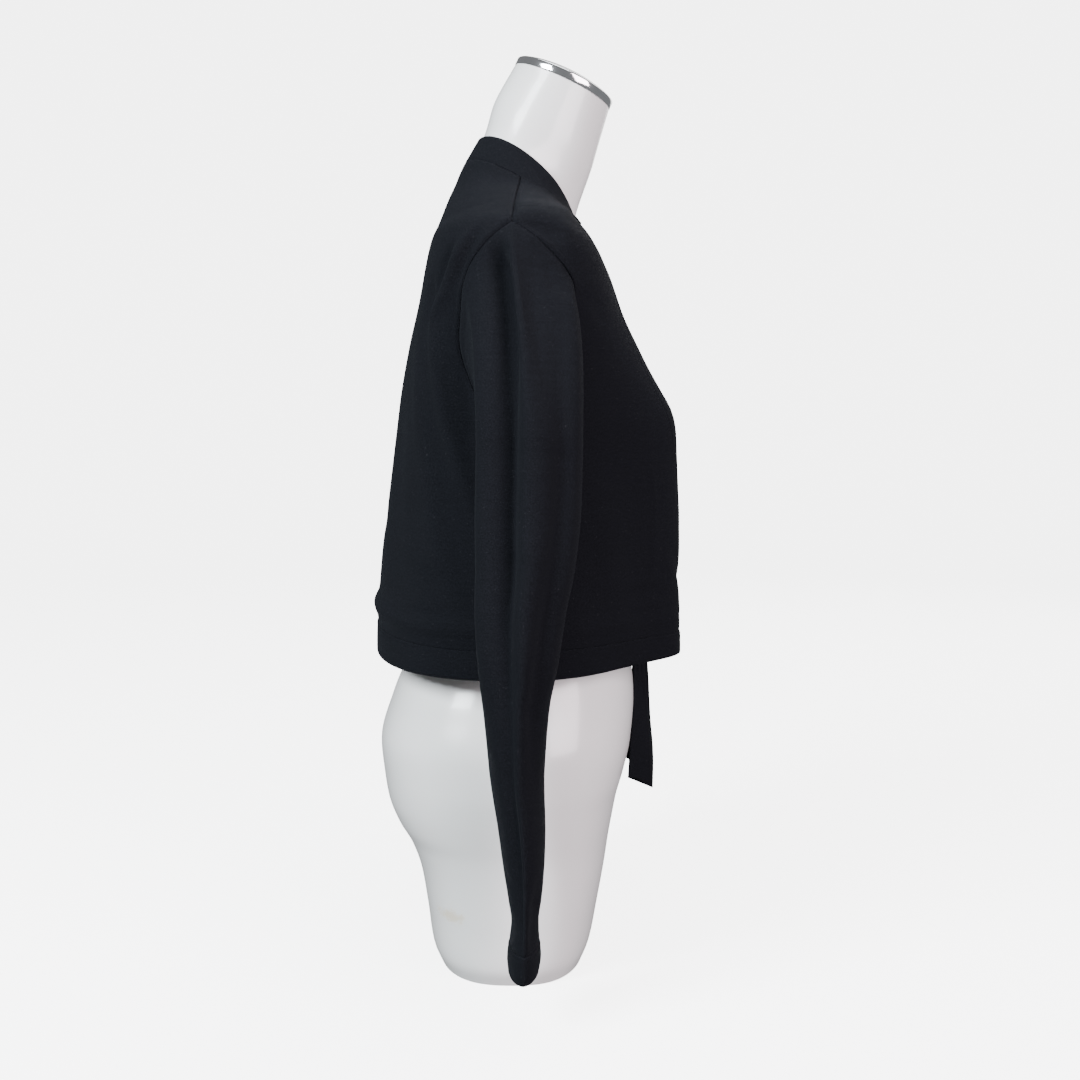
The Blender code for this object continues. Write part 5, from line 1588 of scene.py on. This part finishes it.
def floor_material(settings):
    """Plain pale studio paper."""
    bench = Bench("studio_paper", settings.floor_colour)
    grain = bench.noise(bench.spot(), 45.0, 3.0)
    base = settings.floor_colour
    colour = bench.mix(grain, toned(base, 0.99), toned(base, 1.0))
    return bench.finish(
        Base_Color=colour, Roughness=0.85, Specular_IOR_Level=0.2,
        Emission_Color=colour, Emission_Strength=5.5,
    )


MATERIALS = {
    "jersey": knit_material,
    "sewing_thread": thread_material,
    "moulded_shell": shell_material,
    "polished_chrome": chrome_material,
    "studio_paper": floor_material,
}


def material(name, settings):
    """A finish, made once."""
    return bpy.data.materials.get(name) or MATERIALS[name](settings)


class CardiganSettings(bpy.types.PropertyGroup):
    """Sizes and colours that a user would change."""

    cloth_wall: FloatProperty(
        name="Cloth thickness", description="Thickness of the jersey", default=0.0015,
        min=0.0005, max=0.002, unit="LENGTH",
    )
    band_wall: FloatProperty(
        name="Band thickness", description="Thickness of the folded neck, hem and cuff bands",
        default=0.0025, min=0.001, max=0.0028, unit="LENGTH",
    )
    tie_wall: FloatProperty(
        name="Tie thickness", description="Thickness of the tie ends", default=0.0018,
        min=0.001, max=0.002, unit="LENGTH",
    )
    wale: FloatProperty(
        name="Wale width", description="Width of one column of knit loops", default=0.00105,
        min=0.0005, max=0.004, unit="LENGTH",
    )
    course: FloatProperty(
        name="Course height", description="Height of one row of knit loops", default=0.00080,
        min=0.0004, max=0.004, unit="LENGTH",
    )
    sheen: FloatProperty(
        name="Sheen", description="Soft light that the fuzz of the cloth catches", default=0.016,
        min=0.0, max=1.0, subtype="FACTOR",
    )
    cloth_colour: FloatVectorProperty(
        name="Cloth colour", description="Colour of the jersey", default=(0.0052, 0.0057, 0.0075),
        min=0.0, max=1.0, subtype="COLOR",
    )
    form_colour: FloatVectorProperty(
        name="Form colour", description="Colour of the dress form", default=(0.80, 0.80, 0.79),
        min=0.0, max=1.0, subtype="COLOR",
    )
    cap_colour: FloatVectorProperty(
        name="Cap colour", description="Tint of the neck cap's metal", default=(0.78, 0.79, 0.80),
        min=0.0, max=1.0, subtype="COLOR",
    )
    floor_colour: FloatVectorProperty(
        name="Floor colour", description="Colour of the studio paper", default=(0.86, 0.86, 0.86),
        min=0.0, max=1.0, subtype="COLOR",
    )
    key_power: FloatProperty(
        name="Key light", description="Power of the main soft light in watts", default=85.0,
        min=0.0, max=1000.0,
    )


def banded(settings, piece, node, line):
    """Dress a folded band and sew its row of stitches; both pieces."""
    dress(piece, material("jersey", settings), node)
    stitches = build_stitches(node + "_stitches", line)
    dress(stitches, material("sewing_thread", settings), None)
    return piece, stitches


class CARDIGAN_OT_back(bpy.types.Operator):
    """Make the back panel"""

    bl_idname = "cardigan.make_back"
    bl_label = "Back panel"

    def execute(self, context):
        settings = context.scene.cardigan
        piece = dress(build_back(settings), material("jersey", settings), "back")
        return {"FINISHED"}


class CARDIGAN_OT_fronts(bpy.types.Operator):
    """Make the two front panels"""

    bl_idname = "cardigan.make_fronts"
    bl_label = "Front panels"

    def execute(self, context):
        settings = context.scene.cardigan
        for side, hand in SIDES:
            name = "front_" + hand
            piece = dress(build_front(settings, side, name), material("jersey", settings), name)
        return {"FINISHED"}


class CARDIGAN_OT_sleeves(bpy.types.Operator):
    """Make the two sleeves"""

    bl_idname = "cardigan.make_sleeves"
    bl_label = "Sleeves"

    def execute(self, context):
        settings = context.scene.cardigan
        for side, hand in SIDES:
            name = "sleeve_" + hand
            piece = dress(build_sleeve(settings, side, name), material("jersey", settings), name)
        return {"FINISHED"}


class CARDIGAN_OT_neck_band(bpy.types.Operator):
    """Make the folded neck band and its stitching"""

    bl_idname = "cardigan.make_neck_band"
    bl_label = "Neck band"

    def execute(self, context):
        settings = context.scene.cardigan
        band = build_neck_band(settings)
        piece, stitches = banded(settings, band, "neck_band", neck_stitch_line())
        return {"FINISHED"}


class CARDIGAN_OT_hem(bpy.types.Operator):
    """Make the hem band in its three lengths and its stitching"""

    bl_idname = "cardigan.make_hem"
    bl_label = "Hem band"

    def execute(self, context):
        settings = context.scene.cardigan
        lengths = ((-1.0, "hem_right", 0.22), (1.0, "hem_left", 0.22), (0.0, "hem_back", 0.55))
        for side, name, length in lengths:
            band = build_hem(settings, side, name + "_band")
            piece, stitches = banded(settings, band, name, hem_stitch_line(side))
        return {"FINISHED"}


class CARDIGAN_OT_cuffs(bpy.types.Operator):
    """Make the two cuffs and their stitching"""

    bl_idname = "cardigan.make_cuffs"
    bl_label = "Cuffs"

    def execute(self, context):
        settings = context.scene.cardigan
        for side, hand in SIDES:
            band = build_cuff(settings, side, "cuff_" + hand + "_band")
            piece, stitches = banded(settings, band, "cuff_" + hand, cuff_stitch_line(side))
        return {"FINISHED"}


class CARDIGAN_OT_ties(bpy.types.Operator):
    """Make the knot and the two tie ends"""

    bl_idname = "cardigan.make_ties"
    bl_label = "Ties and knot"

    def execute(self, context):
        settings = context.scene.cardigan
        wrap = dress(build_knot_wrap(), material("jersey", settings), "tie_knot")
        strand = dress(build_knot_strand(), material("jersey", settings), None)
        for side, hand in SIDES:
            tie = build_tie(settings, side, "tie_" + hand + "_end")
            piece = dress(tie, material("jersey", settings), "tie_" + hand)
        return {"FINISHED"}


class CARDIGAN_OT_form(bpy.types.Operator):
    """Make the dress form and its neck cap"""

    bl_idname = "cardigan.make_form"
    bl_label = "Dress form"

    def execute(self, context):
        settings = context.scene.cardigan
        dress(build_form(), material("moulded_shell", settings), "form_body")
        dress(build_cap(), material("polished_chrome", settings), "form_cap")
        return {"FINISHED"}


def build_paper():
    """A round floor of studio paper, swept up into a wall all round."""
    turn = np.linspace(0.0, 2.0 * math.pi, PAPER_SEGMENTS + 1)[:-1]
    bend = np.radians(np.linspace(0.0, 90.0, 25))
    radius = np.append(PAPER_FLOOR + PAPER_SWEEP * np.sin(bend), PAPER_FLOOR + PAPER_SWEEP)
    height = np.append(PAPER_SWEEP * (1.0 - np.cos(bend)), PAPER_TOP)
    x = radius[:, None] * np.cos(turn)
    y = radius[:, None] * np.sin(turn)
    z = height[:, None] * np.ones(turn.shape)
    index = joined(np.arange(x.size).reshape(x.shape), 1)
    faces = np.stack([index[:-1, :-1], index[1:, :-1], index[1:, 1:], index[:-1, 1:]], axis=-1)
    faces = [list(range(PAPER_SEGMENTS))] + faces.reshape(-1, 4).tolist()
    floor = new_piece("studio_floor", np.stack([x, y, z], axis=-1), [], faces)
    floor.visible_diffuse = False
    floor.visible_glossy = False
    return floor


def add_lamp(lamp, key_power):
    """One square soft light, turned to the middle of the object."""
    bpy.ops.object.light_add(type="AREA", location=lamp.place)
    light = bpy.context.object
    light.name = lamp.name
    light.data.shape = "SQUARE"
    light.data.size = lamp.size
    light.data.energy = key_power * lamp.share
    light.data.color = lamp.colour
    aim = Vector(LAMP_TARGET) - Vector(lamp.place)
    light.rotation_euler = aim.to_track_quat("-Z", "Y").to_euler()


class CARDIGAN_OT_stage(bpy.types.Operator):
    """Make the camera, the soft lights and the pale floor with its swept back"""

    bl_idname = "cardigan.make_stage"
    bl_label = "Studio"

    def execute(self, context):
        settings = context.scene.cardigan
        bpy.ops.object.select_all(action="DESELECT")
        turn = (math.pi / 2.0, 0.0, -math.pi / 2.0)
        bpy.ops.object.camera_add(location=CAMERA_PLACE, rotation=turn)
        camera = context.object
        camera.data.sensor_width = 36.0
        camera.data.lens = CAMERA_LENS
        camera.data.shift_y = CAMERA_SHIFT
        context.scene.camera = camera
        floor = build_paper()
        floor.data.materials.append(material("studio_paper", settings))
        for lamp in LAMPS:
            add_lamp(lamp, settings.key_power)
        world = bpy.data.worlds.new("studio_air")
        world.use_nodes = True
        sky = world.node_tree.nodes["Background"]
        sky.inputs["Color"].default_value = AIR_COLOUR
        sky.inputs["Strength"].default_value = AIR_STRENGTH
        context.scene.world = world
        return {"FINISHED"}


class CARDIGAN_PT_panel(bpy.types.Panel):
    """Buttons for the pieces, in the order in which they are made"""

    bl_idname = "CARDIGAN_PT_panel"
    bl_label = "Tie-front cardigan"
    bl_space_type = "VIEW_3D"
    bl_region_type = "UI"
    bl_category = "Cardigan"

    def draw(self, context):
        settings = context.scene.cardigan
        for name in CardiganSettings.__annotations__:
            self.layout.prop(settings, name)
        for operator in OPERATORS:
            self.layout.operator(operator.bl_idname)


OPERATORS = (
    CARDIGAN_OT_form,
    CARDIGAN_OT_back,
    CARDIGAN_OT_fronts,
    CARDIGAN_OT_sleeves,
    CARDIGAN_OT_neck_band,
    CARDIGAN_OT_hem,
    CARDIGAN_OT_cuffs,
    CARDIGAN_OT_ties,
    CARDIGAN_OT_stage,
)


def register():
    for kind in (CardiganSettings, *OPERATORS, CARDIGAN_PT_panel):
        bpy.utils.register_class(kind)
    bpy.types.Scene.cardigan = PointerProperty(type=CardiganSettings)


def unregister():
    del bpy.types.Scene.cardigan
    for kind in (CARDIGAN_PT_panel, *reversed(OPERATORS), CardiganSettings):
        bpy.utils.unregister_class(kind)


def main():
    register()
    bpy.ops.cardigan.make_form()
    bpy.ops.cardigan.make_back()
    bpy.ops.cardigan.make_fronts()
    bpy.ops.cardigan.make_sleeves()
    bpy.ops.cardigan.make_neck_band()
    bpy.ops.cardigan.make_hem()
    bpy.ops.cardigan.make_cuffs()
    bpy.ops.cardigan.make_ties()
    bpy.ops.cardigan.make_stage()


if __name__ == "__main__":
    main()
